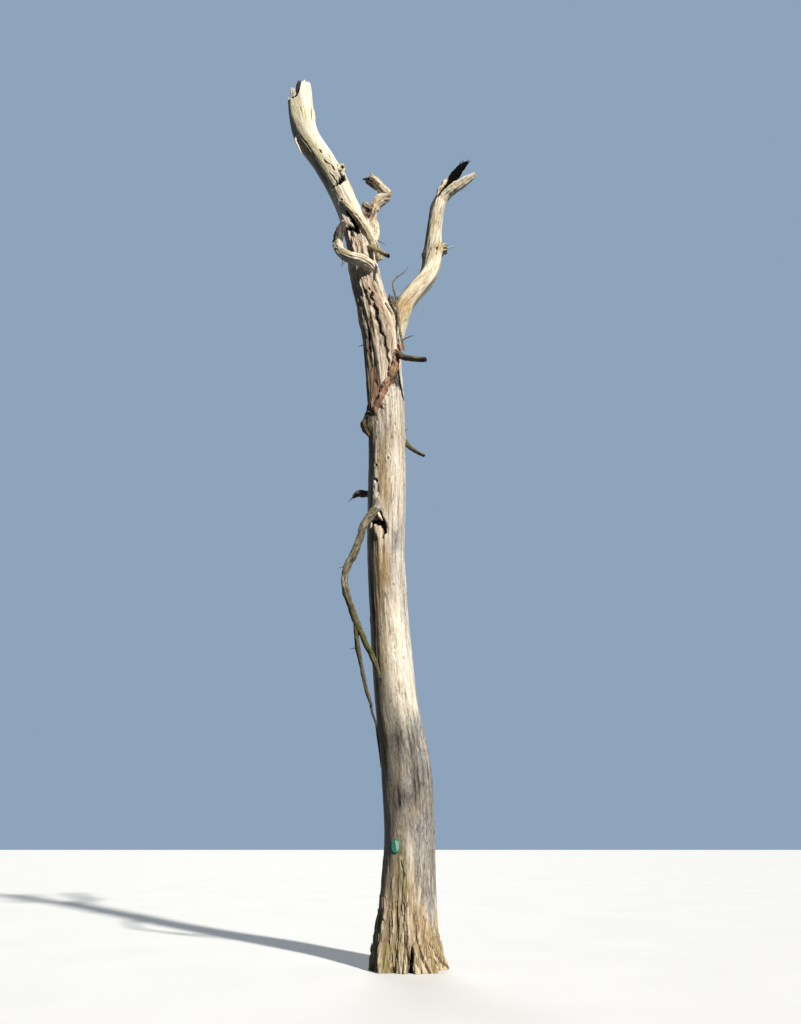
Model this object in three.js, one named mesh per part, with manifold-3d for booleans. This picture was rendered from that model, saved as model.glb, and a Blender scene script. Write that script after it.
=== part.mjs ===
// Dead standing tree, bare of bark and leaves, with a broken hollow top.
//
// Millimetres, +Z up, origin on the flat cut under the trunk at ground level.
// +X is the viewer's right when the tree is seen from the front, +Y is away
// from the viewer.
//
// Every limb is one tapering solid swept along a smooth centre line through a
// few stations [x, y, z, radius]. A limb that turns round a gap is cut in two at
// the bend. A limb that grows out of another is cut back to it, with a gap GAP.

import * as THREE from 'three';
import Module from 'manifold-3d';

const wasm = await Module();
wasm.setup();

// ------------------------------------------------------------ named sizes
const GAP = 0.4;                 // clearance between touching solids

const TRUNK_RADIUS = 345;        // at breast height
const FORK_HEIGHT = 10259;       // where the right bough and the stem part
const STEM_TOP = 12301;          // where the leader leans over to the left
const TIP_HEIGHT = 15130;        // middle of the broken top
const LEAN_LEFT = 2110;          // how far the broken top stands left of the foot

const FLARE_HEIGHT = 450;        // decay height of the general root flare
const FLARE_REACH = 55;

// root buttresses: direction (degrees, 0 = right, -90 = front), reach beyond the
// flared trunk at the ground, half width (degrees), the height it dies out in and,
// where it swells before it dies out, the power of that fall
const BUTTRESSES = [
  { dir: 2, reach: 108, width: 13, height: 230 },
  { dir: -42, reach: 78, width: 15, height: 330 },
  { dir: -84, reach: 84, width: 15, height: 300 },
  { dir: -141, reach: 128, width: 16, height: 740, power: 2 },
  { dir: 180, reach: 116, width: 21, height: 900, power: 2 },
  { dir: 137, reach: 96, width: 16, height: 360 },
  { dir: 91, reach: 88, width: 17, height: 300 },
  { dir: 47, reach: 92, width: 15, height: 360 },
];

// broken top: the rim stands highest on the right and drops to the left, and
// the wood inside is gone
const RIM_HIGH = 270;            // rim above the middle on the high side
const RIM_LOW = 110;             // rim below the middle on the low side
const RIM_DIR = 22;              // direction of the high side
const RIM_JAG = 60;              // height of the splinters
const HOLLOW_DEPTH = 560;
const HOLLOW_WALL = 62;

// main axis: trunk, upper stem and leader in one run
const MAIN_AXIS = [
  [0, 0, 0, TRUNK_RADIUS],
  [8, 15, 1800, TRUNK_RADIUS],
  [-30, 35, 2450, 350],
  [-176, 40, 3458, 318],
  [-270, 28, 4500, 303],
  [-332, 0, 5700, 303],
  [-325, -20, 7500, 312],
  [-378, -30, 8800, 318],
  [-440, -20, 9650, 330],
  [-573, 0, FORK_HEIGHT, 286],
  [-736, 0, 10955, 262],
  [-832, 30, 11702, 256],
  [-984, 20, STEM_TOP, 240],
  [-1140, 0, 12702, 210],
  [-1268, -30, 13027, 219],
  [-1572, -100, 13604, 224],
  [-1958, -200, 14265, 240],
  [-2052, -260, 14733, 246],
  [-LEAN_LEFT, -300, TIP_HEIGHT, 230],
];

// side limbs, each from a root inside its parent to its broken end
const LIMBS = {
  right_bough: [[-330, -20, 9300, 150], [-190, 0, 9963, 180], [-47, 50, 10425, 176], [126, 100, 10734, 167],
    [398, 200, 11202, 158], [508, 266, 11882, 164], [547, 280, 12442, 136], [666, 250, 13046, 146], [782, 222, 13320, 150]],
  upper_prong: [[700, 262, 13180, 96], [802, 280, 13426, 90], [925, 280, 13655, 88], [1069, 280, 13873, 69], [1262, 280, 14100, 20]],
  lower_prong: [[700, 180, 13130, 100], [848, 165, 13190, 96], [1062, 130, 13321, 82], [1200, 105, 13426, 72], [1338, 80, 13520, 30]],
  right_knot: [[470, 262, 11858, 118], [610, 262, 11880, 112], [738, 262, 11892, 66]],
  leader_knob: [[-1450, -90, 13385, 106], [-1330, -110, 13440, 98], [-1215, -130, 13500, 62]],
  leader_strand: [[-500, -40, 11360, 60], [-573, -122, 11536, 80], [-674, -205, 11774, 82], [-840, -243, 12056, 74],
    [-1008, -250, 12312, 66], [-1166, -232, 12535, 66], [-1216, -205, 12612, 52]],
  crook: [[-850, 30, 12120, 110], [-732, 50, 12328, 120], [-634, 80, 12691, 108], [-503, 100, 12905, 105],
    [-392, 115, 13040, 112], [-485, 60, 13163, 110], [-609, 0, 13241, 112], [-728, -60, 13298, 104]],
  shoulder_stub: [[-690, 60, 11600, 86], [-612, 98, 11948, 86], [-600, 100, 12230, 84], [-622, 100, 12445, 62]],
  curl: [[-600, -90, 10985, 112], [-660, -270, 11022, 106], [-827, -420, 11047, 102], [-1022, -500, 11057, 97],
    [-1161, -500, 11150, 90], [-1242, -440, 11371, 90], [-1247, -360, 11642, 98], [-1194, -300, 11876, 82], [-1155, -262, 12027, 58]],
  upper_right_stub: [[-740, -90, 11590, 56], [-645, -220, 11491, 54], [-512, -360, 11317, 38], [-329, -540, 11046, 39]],
  crotch_stub: [[-300, -10, 9960, 84], [-272, 0, 10323, 84], [-271, 20, 10467, 70], [-281, 30, 10590, 40]],
  fork_stub: [[-330, -150, 9290, 84], [-221, -280, 9220, 77], [-58, -400, 9057, 67], [126, -520, 8935, 61], [310, -600, 8857, 54]],
  diagonal_strand: [[-120, -200, 9400, 50], [-169, -280, 9227, 62], [-215, -328, 8887, 62], [-317, -356, 8572, 62],
    [-448, -330, 8280, 60], [-535, -268, 8090, 52], [-580, -190, 7980, 34]],
  side_burl: [[-510, -150, 8270, 60], [-535, -160, 8165, 84], [-602, -125, 8056, 118], [-628, -135, 7877, 102], [-585, -120, 7710, 48]],
  mid_right_branch: [[-150, 30, 7860, 54], [-52, 0, 7709, 50], [30, -60, 7549, 42], [144, -120, 7437, 39], [271, -180, 7326, 34]],
  left_stub: [[-520, 30, 6742, 62], [-605, 50, 6745, 58], [-730, 80, 6775, 58], [-808, 100, 6775, 54], [-884, 120, 6721, 22]],
  droop: [[-530, -200, 6960, 28], [-506, -250, 6694, 44], [-486, -270, 6513, 58], [-493, -302, 6365, 70], [-548, -380, 6223, 70],
    [-609, -450, 6121, 65], [-658, -490, 6020, 62], [-723, -518, 5802, 58], [-808, -540, 5538, 55], [-909, -540, 5310, 54],
    [-942, -538, 5132, 52], [-907, -530, 4935, 51], [-856, -510, 4776, 50], [-768, -480, 4542, 48], [-679, -430, 4339, 46],
    [-608, -385, 4184, 44], [-512, -330, 4001, 41], [-450, -295, 3863, 36], [-412, -272, 3722, 26]],
  droop_fork: [[-790, -492, 4600, 30], [-765, -480, 4522, 36], [-757, -452, 4369, 36], [-732, -400, 4151, 35], [-688, -330, 3943, 33],
    [-642, -270, 3733, 31], [-598, -220, 3552, 28], [-528, -150, 3340, 20]],
};

// oval enamel marker plate nailed to the trunk, turned to the left of the front
const PLATE_HEIGHT = 1483;       // above the ground
const PLATE_DIR = -121;          // degrees
const PLATE_WIDTH = 126;
const PLATE_TALL = 178;
const PLATE_PROUD = 9;           // face of the plate beyond the wood

// ------------------------------------------------------------ centre lines
const rad = (deg) => (deg * Math.PI) / 180;

// Cubic through stations, with slopes taken from the neighbours and the chord
// length as the parameter.
function centreLine(stations, startUp = false) {
  const n = stations.length;
  const s = [0];
  for (let i = 1; i < n; i++) {
    s.push(s[i - 1] + Math.hypot(...[0, 1, 2].map((k) => stations[i][k] - stations[i - 1][k])));
  }
  const slope = stations.map((p, i) => p.map((_, k) => {
    const d = (a, b) => (stations[b][k] - stations[a][k]) / (s[b] - s[a]);
    if (i === 0) return startUp ? (k === 2 ? 1 : 0) : d(0, 1);
    if (i === n - 1) return d(n - 2, n - 1);
    const h0 = s[i] - s[i - 1];
    const h1 = s[i + 1] - s[i];
    return (d(i - 1, i) * h1 + d(i, i + 1) * h0) / (h0 + h1);
  }));
  const at = (q) => {
    let i = 0;
    while (i < n - 2 && q > s[i + 1]) i++;
    const h = s[i + 1] - s[i];
    const w = Math.min(Math.max((q - s[i]) / h, 0), 1);
    const a = 2 * w ** 3 - 3 * w ** 2 + 1;
    const b = w ** 3 - 2 * w ** 2 + w;
    const c = -2 * w ** 3 + 3 * w ** 2;
    const d = w ** 3 - w ** 2;
    return stations[i].map((v, k) => a * v + b * h * slope[i][k] + c * stations[i + 1][k] + d * h * slope[i + 1][k]);
  };
  return { at, s, length: s[n - 1] };
}

// Frames along a centre line, carried without twist from a start direction.
function framesAlong(line, params, startUp = false) {
  const frames = [];
  let u = null;
  for (const q of params) {
    const p = line.at(q);
    const e = line.length * 1e-4;
    const a = line.at(Math.max(q - e, 0));
    const b = line.at(Math.min(q + e, line.length));
    const t = new THREE.Vector3(b[0] - a[0], b[1] - a[1], b[2] - a[2]).normalize();
    if (startUp && q === 0) t.set(0, 0, 1);
    if (u === null) u = Math.abs(t.x) < 0.8 ? new THREE.Vector3(1, 0, 0) : new THREE.Vector3(0, 0, 1);
    u = u.clone().addScaledVector(t, -u.dot(t)).normalize();
    const v = new THREE.Vector3().crossVectors(t, u);
    frames.push({ q, c: new THREE.Vector3(p[0], p[1], p[2]), r: p[3], t, u, v });
  }
  return frames;
}

const evenly = (from, to, steps, bias = 1) => Array.from({ length: steps + 1 }, (_, i) => from + (to - from) * (i / steps) ** bias);

// ------------------------------------------------------------ cross sections
// Wood that has lost its bark is never quite round.
const uneven = (amount, seed) => (angle, f) => f.r * (1 + amount * (
  0.50 * Math.sin(2 * angle + seed * 1.7 + f.q / 2300)
  + 0.35 * Math.sin(3 * angle + seed * 2.9 - f.q / 1700)
  + 0.30 * Math.sin(5 * angle + seed * 4.1 + f.q / 900)));

function trunkSection(angle, f) {
  let r = uneven(0.03, 1.3)(angle, f) + FLARE_REACH * Math.exp(-f.c.z / FLARE_HEIGHT);
  for (const b of BUTTRESSES) {
    let d = angle - rad(b.dir);
    d = Math.atan2(Math.sin(d), Math.cos(d));
    r += b.reach * Math.exp(-((d / rad(b.width)) ** 2)) * Math.exp(-((f.c.z / b.height) ** (b.power ?? 1)));
  }
  return r;
}

const rimHeight = (angle) => {
  const side = Math.min(Math.max((Math.cos(angle - rad(RIM_DIR)) + 0.42) / 0.6, 0), 1);
  const lift = side * side * (3 - 2 * side);
  return -RIM_LOW + (RIM_HIGH + RIM_LOW) * lift + RIM_JAG * Math.sin(5 * angle + 0.6) * Math.cos(3 * angle);
};

// ------------------------------------------------------------ solids
function toManifold(points, faces) {
  const vertProperties = new Float32Array(points.flatMap((p) => [p.x, p.y, p.z]));
  const triVerts = new Uint32Array(faces.flat());
  return new wasm.Manifold(new wasm.Mesh({ numProp: 3, vertProperties, triVerts }));
}

// Skin over the frames. `ragged` is how far the splinters of a broken end reach,
// `rim` lifts each point of the last ring and opens a hollow under it, and
// `grow` makes the same solid larger all round, to cut neighbours back with.
function skin(frames, { sides = 12, section, ragged = 0, rim = null, grow = 0, endGrow = grow, startGrow = grow }) {
  const points = [];
  const faces = [];
  const ring = (f, radius, shift) => {
    const start = points.length;
    for (let k = 0; k < sides; k++) {
      const a = (2 * Math.PI * k) / sides;
      const r = radius(a, f);
      points.push(f.c.clone().addScaledVector(f.u, r * Math.cos(a)).addScaledVector(f.v, r * Math.sin(a)).addScaledVector(f.t, shift(a, f)));
    }
    return start;
  };
  const bridge = (a, b) => {
    for (let k = 0; k < sides; k++) {
      const n = (k + 1) % sides;
      faces.push([a + k, a + n, b + n], [a + k, b + n, b + k]);
    }
  };
  const close = (a, centre, last) => {
    const c = points.push(centre) - 1;
    for (let k = 0; k < sides; k++) {
      const n = (k + 1) % sides;
      faces.push(last ? [a + k, a + n, c] : [a + n, a + k, c]);
    }
  };
  const outer = (a, f) => section(a, f) + grow;
  const lastIndex = frames.length - 1;
  let previous = -1;
  frames.forEach((f, i) => {
    let shift = () => 0;
    if (i === 0) shift = () => -startGrow;
    if (i === lastIndex) shift = (a) => endGrow + (rim ? rim(a) : ragged * f.r * (Math.sin(4 * a + 1) * 0.6 + Math.sin(7 * a + f.r) * 0.4));
    const start = ring(f, outer, shift);
    if (i === 0) close(start, f.c.clone().addScaledVector(f.t, -startGrow), false);
    else bridge(previous, start);
    previous = start;
  });
  const end = frames[lastIndex];
  if (rim) {
    const wall = HOLLOW_WALL + grow;
    const steps = 4;
    for (let j = 0; j <= steps; j++) {
      const w = j / steps;
      const down = (a) => (1 - w) * rim(a) - w * HOLLOW_DEPTH;
      const inner = (a, f) => (section(a, f) - wall) * (1 - 0.45 * w * w);
      const start = ring(end, inner, down);
      bridge(previous, start);
      previous = start;
    }
    close(previous, end.c.clone().addScaledVector(end.t, -HOLLOW_DEPTH - 40), true);
  } else {
    close(previous, end.c.clone().addScaledVector(end.t, endGrow - ragged * end.r * 0.5), true);
  }
  return toManifold(points, faces);
}

// A limb cut into pieces at the given stations. Each piece comes with its own
// grown copy.
function pieces(stations, names, cuts, { rings, sides = 12, section, ragged = 0, rim = null, startUp = false, bias = 1 }) {
  const line = centreLine(stations, startUp);
  const bounds = [0, ...cuts.map((i) => line.s[i]), line.length];
  return names.map((name, i) => {
    const last = i === names.length - 1;
    const from = bounds[i] + (i === 0 ? 0 : GAP);
    const params = evenly(from, bounds[i + 1], rings[i], i === 0 ? bias : 1);
    const all = framesAlong(line, [...(i === 0 ? [] : evenly(0, bounds[i], 40).slice(0, -1)), ...params], startUp);
    const frames = all.slice(all.length - params.length);
    const options = { sides, section, ragged: last ? ragged : 0, rim: last ? rim : null };
    return {
      name,
      solid: skin(frames, options),
      grown: skin(frames, { ...options, grow: GAP, startGrow: GAP / 2, endGrow: last ? GAP : GAP / 2 }),
    };
  });
}

// ------------------------------------------------------------ the tree
const made = {};
const keep = (list) => list.forEach((p) => { made[p.name] = p; });
const cutBack = (name, ...parents) => {
  for (const parent of parents) {
    made[name].solid = made[name].solid.subtract(made[parent].grown);
    made[name].grown = made[name].grown.subtract(made[parent].solid);
  }
};

keep(pieces(MAIN_AXIS, ['trunk', 'upper_stem', 'leader_bough'], [9, 12], {
  rings: [34, 8, 15], sides: 28, startUp: true, bias: 1.25, rim: rimHeight, section: trunkSection,
}));

const limb = (key, names, cuts, rings, sides, seed, extra = {}) => keep(pieces(LIMBS[key], names, cuts, {
  rings, sides, section: uneven(0.07, seed), ragged: 0.22, ...extra,
}));

limb('right_bough', ['right_bough_lower', 'right_bough_upper'], [5], [12, 8], 16, 2.1);
limb('upper_prong', ['upper_prong'], [], [7], 10, 2.7);
limb('lower_prong', ['lower_prong'], [], [7], 10, 3.2);
limb('right_knot', ['right_knot'], [], [4], 10, 0.7, { ragged: 0.1 });
limb('leader_knob', ['leader_knob'], [], [4], 10, 2.2, { ragged: 0.12 });
limb('leader_strand', ['leader_strand'], [], [12], 10, 1.1);
limb('crook', ['crook_lower', 'crook_upper'], [4], [8, 6], 12, 4.4);
limb('shoulder_stub', ['shoulder_stub'], [], [6], 10, 5.1, { ragged: 0.35 });
limb('curl', ['curl_lower', 'curl_upper'], [5], [9, 6], 12, 0.4);
limb('upper_right_stub', ['upper_right_stub'], [], [7], 10, 6.0, { ragged: 0.08 });
limb('crotch_stub', ['crotch_stub'], [], [6], 10, 3.9, { ragged: 0.6 });
limb('fork_stub', ['fork_stub'], [], [7], 10, 1.9, { ragged: 0.2 });
limb('diagonal_strand', ['diagonal_strand'], [], [14], 10, 2.4, { ragged: 0.1 });
limb('side_burl', ['side_burl'], [], [7], 12, 5.6, { ragged: 0.3 });
limb('mid_right_branch', ['mid_right_branch'], [], [7], 10, 0.9, { ragged: 0.1 });
limb('left_stub', ['left_stub'], [], [6], 10, 3.3, { ragged: 0.1 });
limb('droop', ['droop_upper', 'droop_lower'], [10], [16, 13], 10, 4.9, { ragged: 0.1 });
limb('droop_fork', ['droop_fork'], [], [9], 8, 1.5, { ragged: 0.1 });

cutBack('right_bough_lower', 'trunk', 'upper_stem');
cutBack('right_bough_upper', 'right_bough_lower');
cutBack('right_knot', 'right_bough_lower', 'right_bough_upper');
cutBack('upper_prong', 'right_bough_upper');
cutBack('lower_prong', 'right_bough_upper', 'upper_prong');
cutBack('leader_knob', 'leader_bough');
cutBack('crook_lower', 'upper_stem', 'leader_bough');
cutBack('crook_upper', 'crook_lower');
cutBack('shoulder_stub', 'upper_stem', 'crook_lower');
cutBack('leader_strand', 'upper_stem', 'leader_bough', 'crook_lower', 'shoulder_stub');
cutBack('curl_lower', 'upper_stem');
cutBack('curl_upper', 'curl_lower', 'upper_stem', 'leader_bough', 'leader_strand');
cutBack('upper_right_stub', 'upper_stem', 'leader_strand');
cutBack('crotch_stub', 'trunk', 'upper_stem', 'right_bough_lower');
cutBack('fork_stub', 'trunk', 'right_bough_lower');
cutBack('diagonal_strand', 'trunk', 'fork_stub', 'right_bough_lower');
cutBack('side_burl', 'trunk', 'diagonal_strand');
cutBack('mid_right_branch', 'trunk');
cutBack('left_stub', 'trunk');
cutBack('droop_upper', 'trunk');
cutBack('droop_lower', 'droop_upper', 'trunk');
cutBack('droop_fork', 'droop_lower', 'droop_upper', 'trunk');

// ------------------------------------------------------------ marker plate
function plateSolid() {
  const dir = rad(PLATE_DIR);
  const out = new THREE.Vector3(Math.cos(dir), Math.sin(dir), 0);
  const side = new THREE.Vector3(-Math.sin(dir), Math.cos(dir), 0);
  const up = new THREE.Vector3(0, 0, 1);
  const face = TRUNK_RADIUS + PLATE_PROUD;
  const axis = new THREE.Vector3(5, 10, PLATE_HEIGHT);
  const sides = 32;
  const points = [];
  const faces = [];
  for (const depth of [face, face - 60]) {
    for (let k = 0; k < sides; k++) {
      const a = (2 * Math.PI * k) / sides;
      points.push(axis.clone().addScaledVector(out, depth)
        .addScaledVector(side, (PLATE_WIDTH / 2) * Math.cos(a)).addScaledVector(up, (PLATE_TALL / 2) * Math.sin(a)));
    }
  }
  const front = points.push(axis.clone().addScaledVector(out, face)) - 1;
  const back = points.push(axis.clone().addScaledVector(out, face - 60)) - 1;
  for (let k = 0; k < sides; k++) {
    const n = (k + 1) % sides;
    faces.push([k, n, front], [sides + n, sides + k, back], [sides + k, sides + n, n], [sides + k, n, k]);
  }
  return toManifold(points, faces);
}
made.marker_plate = { name: 'marker_plate', solid: plateSolid().subtract(made.trunk.grown) };

// ------------------------------------------------------------ colours
const WOOD = {
  trunk: 0xa89f8d, upper_stem: 0xa98d7a, leader_bough: 0xc9b894,
  right_bough_lower: 0xd9c795, right_bough_upper: 0xe0cc98, upper_prong: 0x6a5a3e, lower_prong: 0xe6d5a6, right_knot: 0x8f7d55,
  leader_knob: 0xa8926a, leader_strand: 0xdac6a0, crook_lower: 0x8a755b, crook_upper: 0x9f8a5e, shoulder_stub: 0x7a6a4e,
  curl_lower: 0x9a865c, curl_upper: 0x5d5340, upper_right_stub: 0xb29a6b, crotch_stub: 0x4d4232,
  fork_stub: 0xa59a5e, diagonal_strand: 0x8d6650, side_burl: 0xb09f85, mid_right_branch: 0x8f8a55,
  left_stub: 0x5a4f3f, droop_upper: 0x86774a, droop_lower: 0x8a7b48, droop_fork: 0x7d7444,
};
const PLATE_GREEN = 0x1f6a4c;

function toMesh({ name, solid }) {
  const mesh = solid.getMesh();
  const geometry = new THREE.BufferGeometry();
  const n = mesh.numProp;
  const position = new Float32Array((mesh.vertProperties.length / n) * 3);
  for (let i = 0; i < position.length / 3; i++) {
    for (let k = 0; k < 3; k++) position[3 * i + k] = mesh.vertProperties[n * i + k];
  }
  geometry.setAttribute('position', new THREE.BufferAttribute(position, 3));
  geometry.setIndex(Array.from(mesh.triVerts));
  const plate = name === 'marker_plate';
  const material = new THREE.MeshStandardMaterial({
    color: plate ? PLATE_GREEN : WOOD[name], roughness: plate ? 0.35 : 0.85, metalness: 0,
  });
  const object = new THREE.Mesh(geometry, material);
  object.name = name;
  return object;
}

const group = new THREE.Group();
for (const part of Object.values(made)) group.add(toMesh(part));

export default group;
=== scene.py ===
import math

import bpy
import numpy as np
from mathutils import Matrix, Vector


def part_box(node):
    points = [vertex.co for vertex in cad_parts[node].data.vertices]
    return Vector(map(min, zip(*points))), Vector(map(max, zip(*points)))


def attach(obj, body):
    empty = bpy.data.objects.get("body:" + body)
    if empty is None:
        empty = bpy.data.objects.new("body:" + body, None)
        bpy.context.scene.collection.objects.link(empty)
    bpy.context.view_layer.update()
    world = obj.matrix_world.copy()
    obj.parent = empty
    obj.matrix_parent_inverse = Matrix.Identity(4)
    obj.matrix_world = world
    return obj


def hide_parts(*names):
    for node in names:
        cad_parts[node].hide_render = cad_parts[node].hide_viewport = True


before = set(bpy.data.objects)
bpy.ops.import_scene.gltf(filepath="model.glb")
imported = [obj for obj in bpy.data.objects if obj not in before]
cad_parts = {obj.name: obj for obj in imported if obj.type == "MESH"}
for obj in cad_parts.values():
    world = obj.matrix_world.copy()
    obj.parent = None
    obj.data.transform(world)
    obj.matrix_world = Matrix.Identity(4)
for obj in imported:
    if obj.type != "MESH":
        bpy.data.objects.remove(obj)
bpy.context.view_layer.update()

# ---------------------------------------------------------------- camera
# Eye height 1.62 m, 11.9 m in front of the foot, looking up by 22 degrees.
camera = bpy.data.objects.new("camera", bpy.data.cameras.new("camera"))
bpy.context.scene.collection.objects.link(camera)
camera.data.sensor_width = 36.0
camera.data.lens = 36.0 * 801 / 1024
camera.data.clip_end = 200.0
camera.location = (-0.11, -11.9, 1.62)
camera.rotation_euler = (math.radians(90 + 21.96), 0, 0)
bpy.context.scene.camera = camera

# ---------------------------------------------------------------- stations
# The construction's own stations, in millimetres: x, y, z, radius.
TIP = 15130
MAIN_AXIS = [
    [0, 0, 0, 345], [8, 15, 1800, 345], [-30, 35, 2450, 350], [-176, 40, 3458, 318], [-270, 28, 4500, 303],
    [-332, 0, 5700, 303], [-325, -20, 7500, 312], [-378, -30, 8800, 318], [-440, -20, 9650, 330], [-573, 0, 10259, 286],
    [-736, 0, 10955, 262], [-832, 30, 11702, 256], [-984, 20, 12301, 240], [-1140, 0, 12702, 210], [-1268, -30, 13027, 219],
    [-1572, -100, 13604, 224], [-1958, -200, 14265, 240], [-2052, -260, 14733, 246], [-2110, -300, TIP, 230],
]
LIMBS = {
    "right_bough": [[-330, -20, 9300, 150], [-190, 0, 9963, 180], [-47, 50, 10425, 176], [126, 100, 10734, 167],
                    [398, 200, 11202, 158], [508, 266, 11882, 164], [547, 280, 12442, 136], [666, 250, 13046, 146], [782, 222, 13320, 150]],
    "upper_prong": [[600, 262, 12880, 60], [664, 262, 13080, 100], [790, 270, 13390, 112], [925, 275, 13625, 108], [1062, 280, 13850, 74], [1222, 280, 14040, 28]],
    "lower_prong": [[650, 245, 12800, 50], [704, 216, 13000, 86], [860, 168, 13195, 108], [1062, 130, 13321, 84], [1200, 105, 13426, 74], [1338, 80, 13520, 40]],
    "right_knot": [[470, 262, 11836, 136], [612, 250, 11850, 140], [768, 250, 11862, 84]],
    "leader_knob": [[-1400, -40, 13230, 60], [-1345, -100, 13315, 98], [-1270, -130, 13400, 104], [-1200, -145, 13490, 72]],
    "leader_strand": [[-500, -40, 11360, 60], [-573, -122, 11536, 78], [-674, -196, 11774, 72], [-830, -224, 12056, 62],
                      [-1000, -230, 12312, 56], [-1162, -218, 12535, 58], [-1216, -198, 12612, 48]],
    "crook": [[-850, 30, 12120, 110], [-732, 50, 12328, 120], [-634, 80, 12691, 108], [-503, 100, 12905, 105],
              [-392, 115, 13036, 104], [-485, 60, 13163, 92], [-609, 0, 13241, 100], [-728, -60, 13298, 98]],
    "shoulder_stub": [[-690, 60, 11600, 86], [-612, 98, 11948, 86], [-600, 100, 12230, 84], [-622, 100, 12445, 62]],
    "curl": [[-600, -90, 10985, 112], [-660, -270, 11022, 106], [-827, -420, 11047, 102], [-1022, -500, 11057, 97],
             [-1155, -500, 11150, 88], [-1230, -440, 11371, 82], [-1236, -360, 11642, 86], [-1190, -300, 11876, 76], [-1155, -262, 12027, 58]],
    "upper_right_stub": [[-740, -90, 11590, 56], [-645, -220, 11491, 54], [-512, -360, 11317, 38], [-329, -540, 11046, 39]],
    "crotch_stub": [[-300, -10, 9960, 84], [-272, 0, 10323, 84], [-271, 20, 10467, 70], [-281, 30, 10590, 40]],
    "fork_stub": [[-330, -150, 9290, 78], [-221, -280, 9220, 66], [-58, -400, 9060, 54], [126, -520, 8945, 47], [310, -600, 8885, 38]],
    "diagonal_strand": [[-120, -200, 9400, 50], [-169, -280, 9227, 62], [-215, -328, 8887, 62], [-317, -356, 8572, 62],
                        [-448, -330, 8280, 60], [-535, -268, 8090, 52], [-580, -190, 7980, 34]],
    "side_burl": [[-500, -150, 8350, 60], [-548, -165, 8240, 98], [-602, -130, 8080, 122], [-628, -135, 7877, 106], [-585, -120, 7710, 48]],
    "mid_right_branch": [[-150, 30, 7860, 46], [-52, 0, 7709, 39], [30, -60, 7549, 32], [144, -120, 7437, 29], [271, -180, 7326, 26]],
    "crook_knob": [[-680, 30, 12590, 50], [-735, 0, 12618, 52], [-780, -24, 12640, 60], [-818, -40, 12652, 50], [-834, -48, 12657, 34]],
    "elbow_knob": [[-440, 90, 12990, 66], [-370, 70, 13010, 62], [-292, 60, 13040, 46]],
    "left_stub": [[-520, 30, 6742, 62], [-605, 50, 6745, 58], [-730, 80, 6775, 58], [-808, 100, 6775, 54], [-884, 120, 6721, 22]],
    "droop": [[-530, -200, 6960, 28], [-506, -250, 6694, 44], [-486, -270, 6513, 58], [-493, -302, 6365, 70], [-548, -380, 6223, 70],
              [-609, -450, 6121, 65], [-658, -490, 6020, 62], [-723, -518, 5802, 58], [-808, -540, 5538, 55], [-909, -540, 5310, 54],
              [-942, -538, 5132, 52], [-907, -530, 4935, 51], [-856, -510, 4776, 50], [-768, -480, 4542, 48], [-679, -430, 4339, 46],
              [-608, -385, 4184, 44], [-512, -330, 4001, 41], [-450, -295, 3863, 36], [-412, -272, 3722, 26]],
    "droop_fork": [[-790, -492, 4600, 30], [-765, -480, 4522, 36], [-757, -452, 4369, 36], [-732, -400, 4151, 35], [-688, -330, 3943, 33],
                   [-642, -270, 3733, 31], [-598, -220, 3552, 28], [-528, -150, 3340, 20]],
}
BUTTRESSES = [(2, 108, 13, 230, 1), (-42, 78, 15, 330, 1), (-84, 84, 15, 300, 1), (-141, 128, 16, 740, 2),
              (180, 116, 21, 900, 2), (137, 96, 16, 360, 1), (91, 88, 17, 300, 1), (47, 92, 15, 360, 1)]


def smooth(a, b, x):
    w = np.clip((np.asarray(x, float) - a) / (b - a), 0, 1)
    return w * w * (3 - 2 * w)


def window(a, b, c, d, x):
    return smooth(a, b, x) * (1 - smooth(c, d, x))


def near_angle(A, deg, half):
    d = A - math.radians(deg)
    d = np.arctan2(np.sin(d), np.cos(d))
    return np.exp(-((d / math.radians(half)) ** 2))


class Line:
    """Cubic through stations, slopes from the neighbours, chord length as the parameter."""

    def __init__(self, stations, up=False):
        p = np.array(stations, float)
        d = np.linalg.norm(np.diff(p[:, :3], axis=0), axis=1)
        self.s = np.concatenate([[0], np.cumsum(d)])
        seg = np.diff(p, axis=0) / d[:, None]
        m = np.zeros_like(p)
        m[0], m[-1] = seg[0], seg[-1]
        if up:
            m[0] = (0, 0, 1, 0)
        for i in range(1, len(p) - 1):
            m[i] = (seg[i - 1] * d[i] + seg[i] * d[i - 1]) / (d[i - 1] + d[i])
        self.p, self.m, self.length = p, m, self.s[-1]

    def at(self, q):
        i = np.clip(np.searchsorted(self.s, q, side="left") - 1, 0, len(self.p) - 2)
        h = self.s[i + 1] - self.s[i]
        w = np.clip((q - self.s[i]) / h, 0, 1)[:, None]
        h = h[:, None]
        return ((2 * w**3 - 3 * w**2 + 1) * self.p[i] + (w**3 - 2 * w**2 + w) * h * self.m[i]
                + (-2 * w**3 + 3 * w**2) * self.p[i + 1] + (w**3 - w**2) * h * self.m[i + 1])


def uneven(amount, seed):
    def section(A, q, r, z):
        return r * (1 + amount * (0.50 * np.sin(2 * A + seed * 1.7 + q / 2300) + 0.35 * np.sin(3 * A + seed * 2.9 - q / 1700)
                                  + 0.30 * np.sin(5 * A + seed * 4.1 + q / 900)))
    return section


def trunk_section(A, q, r, z):
    R = uneven(0.03, 1.3)(A, q, r, z) + 55 * np.exp(-z / 450)
    for deg, reach, width, height, power in BUTTRESSES:
        R = R + reach * near_angle(A, deg, width) * np.exp(-((np.maximum(z, 0) / height) ** power))
    return R


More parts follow.
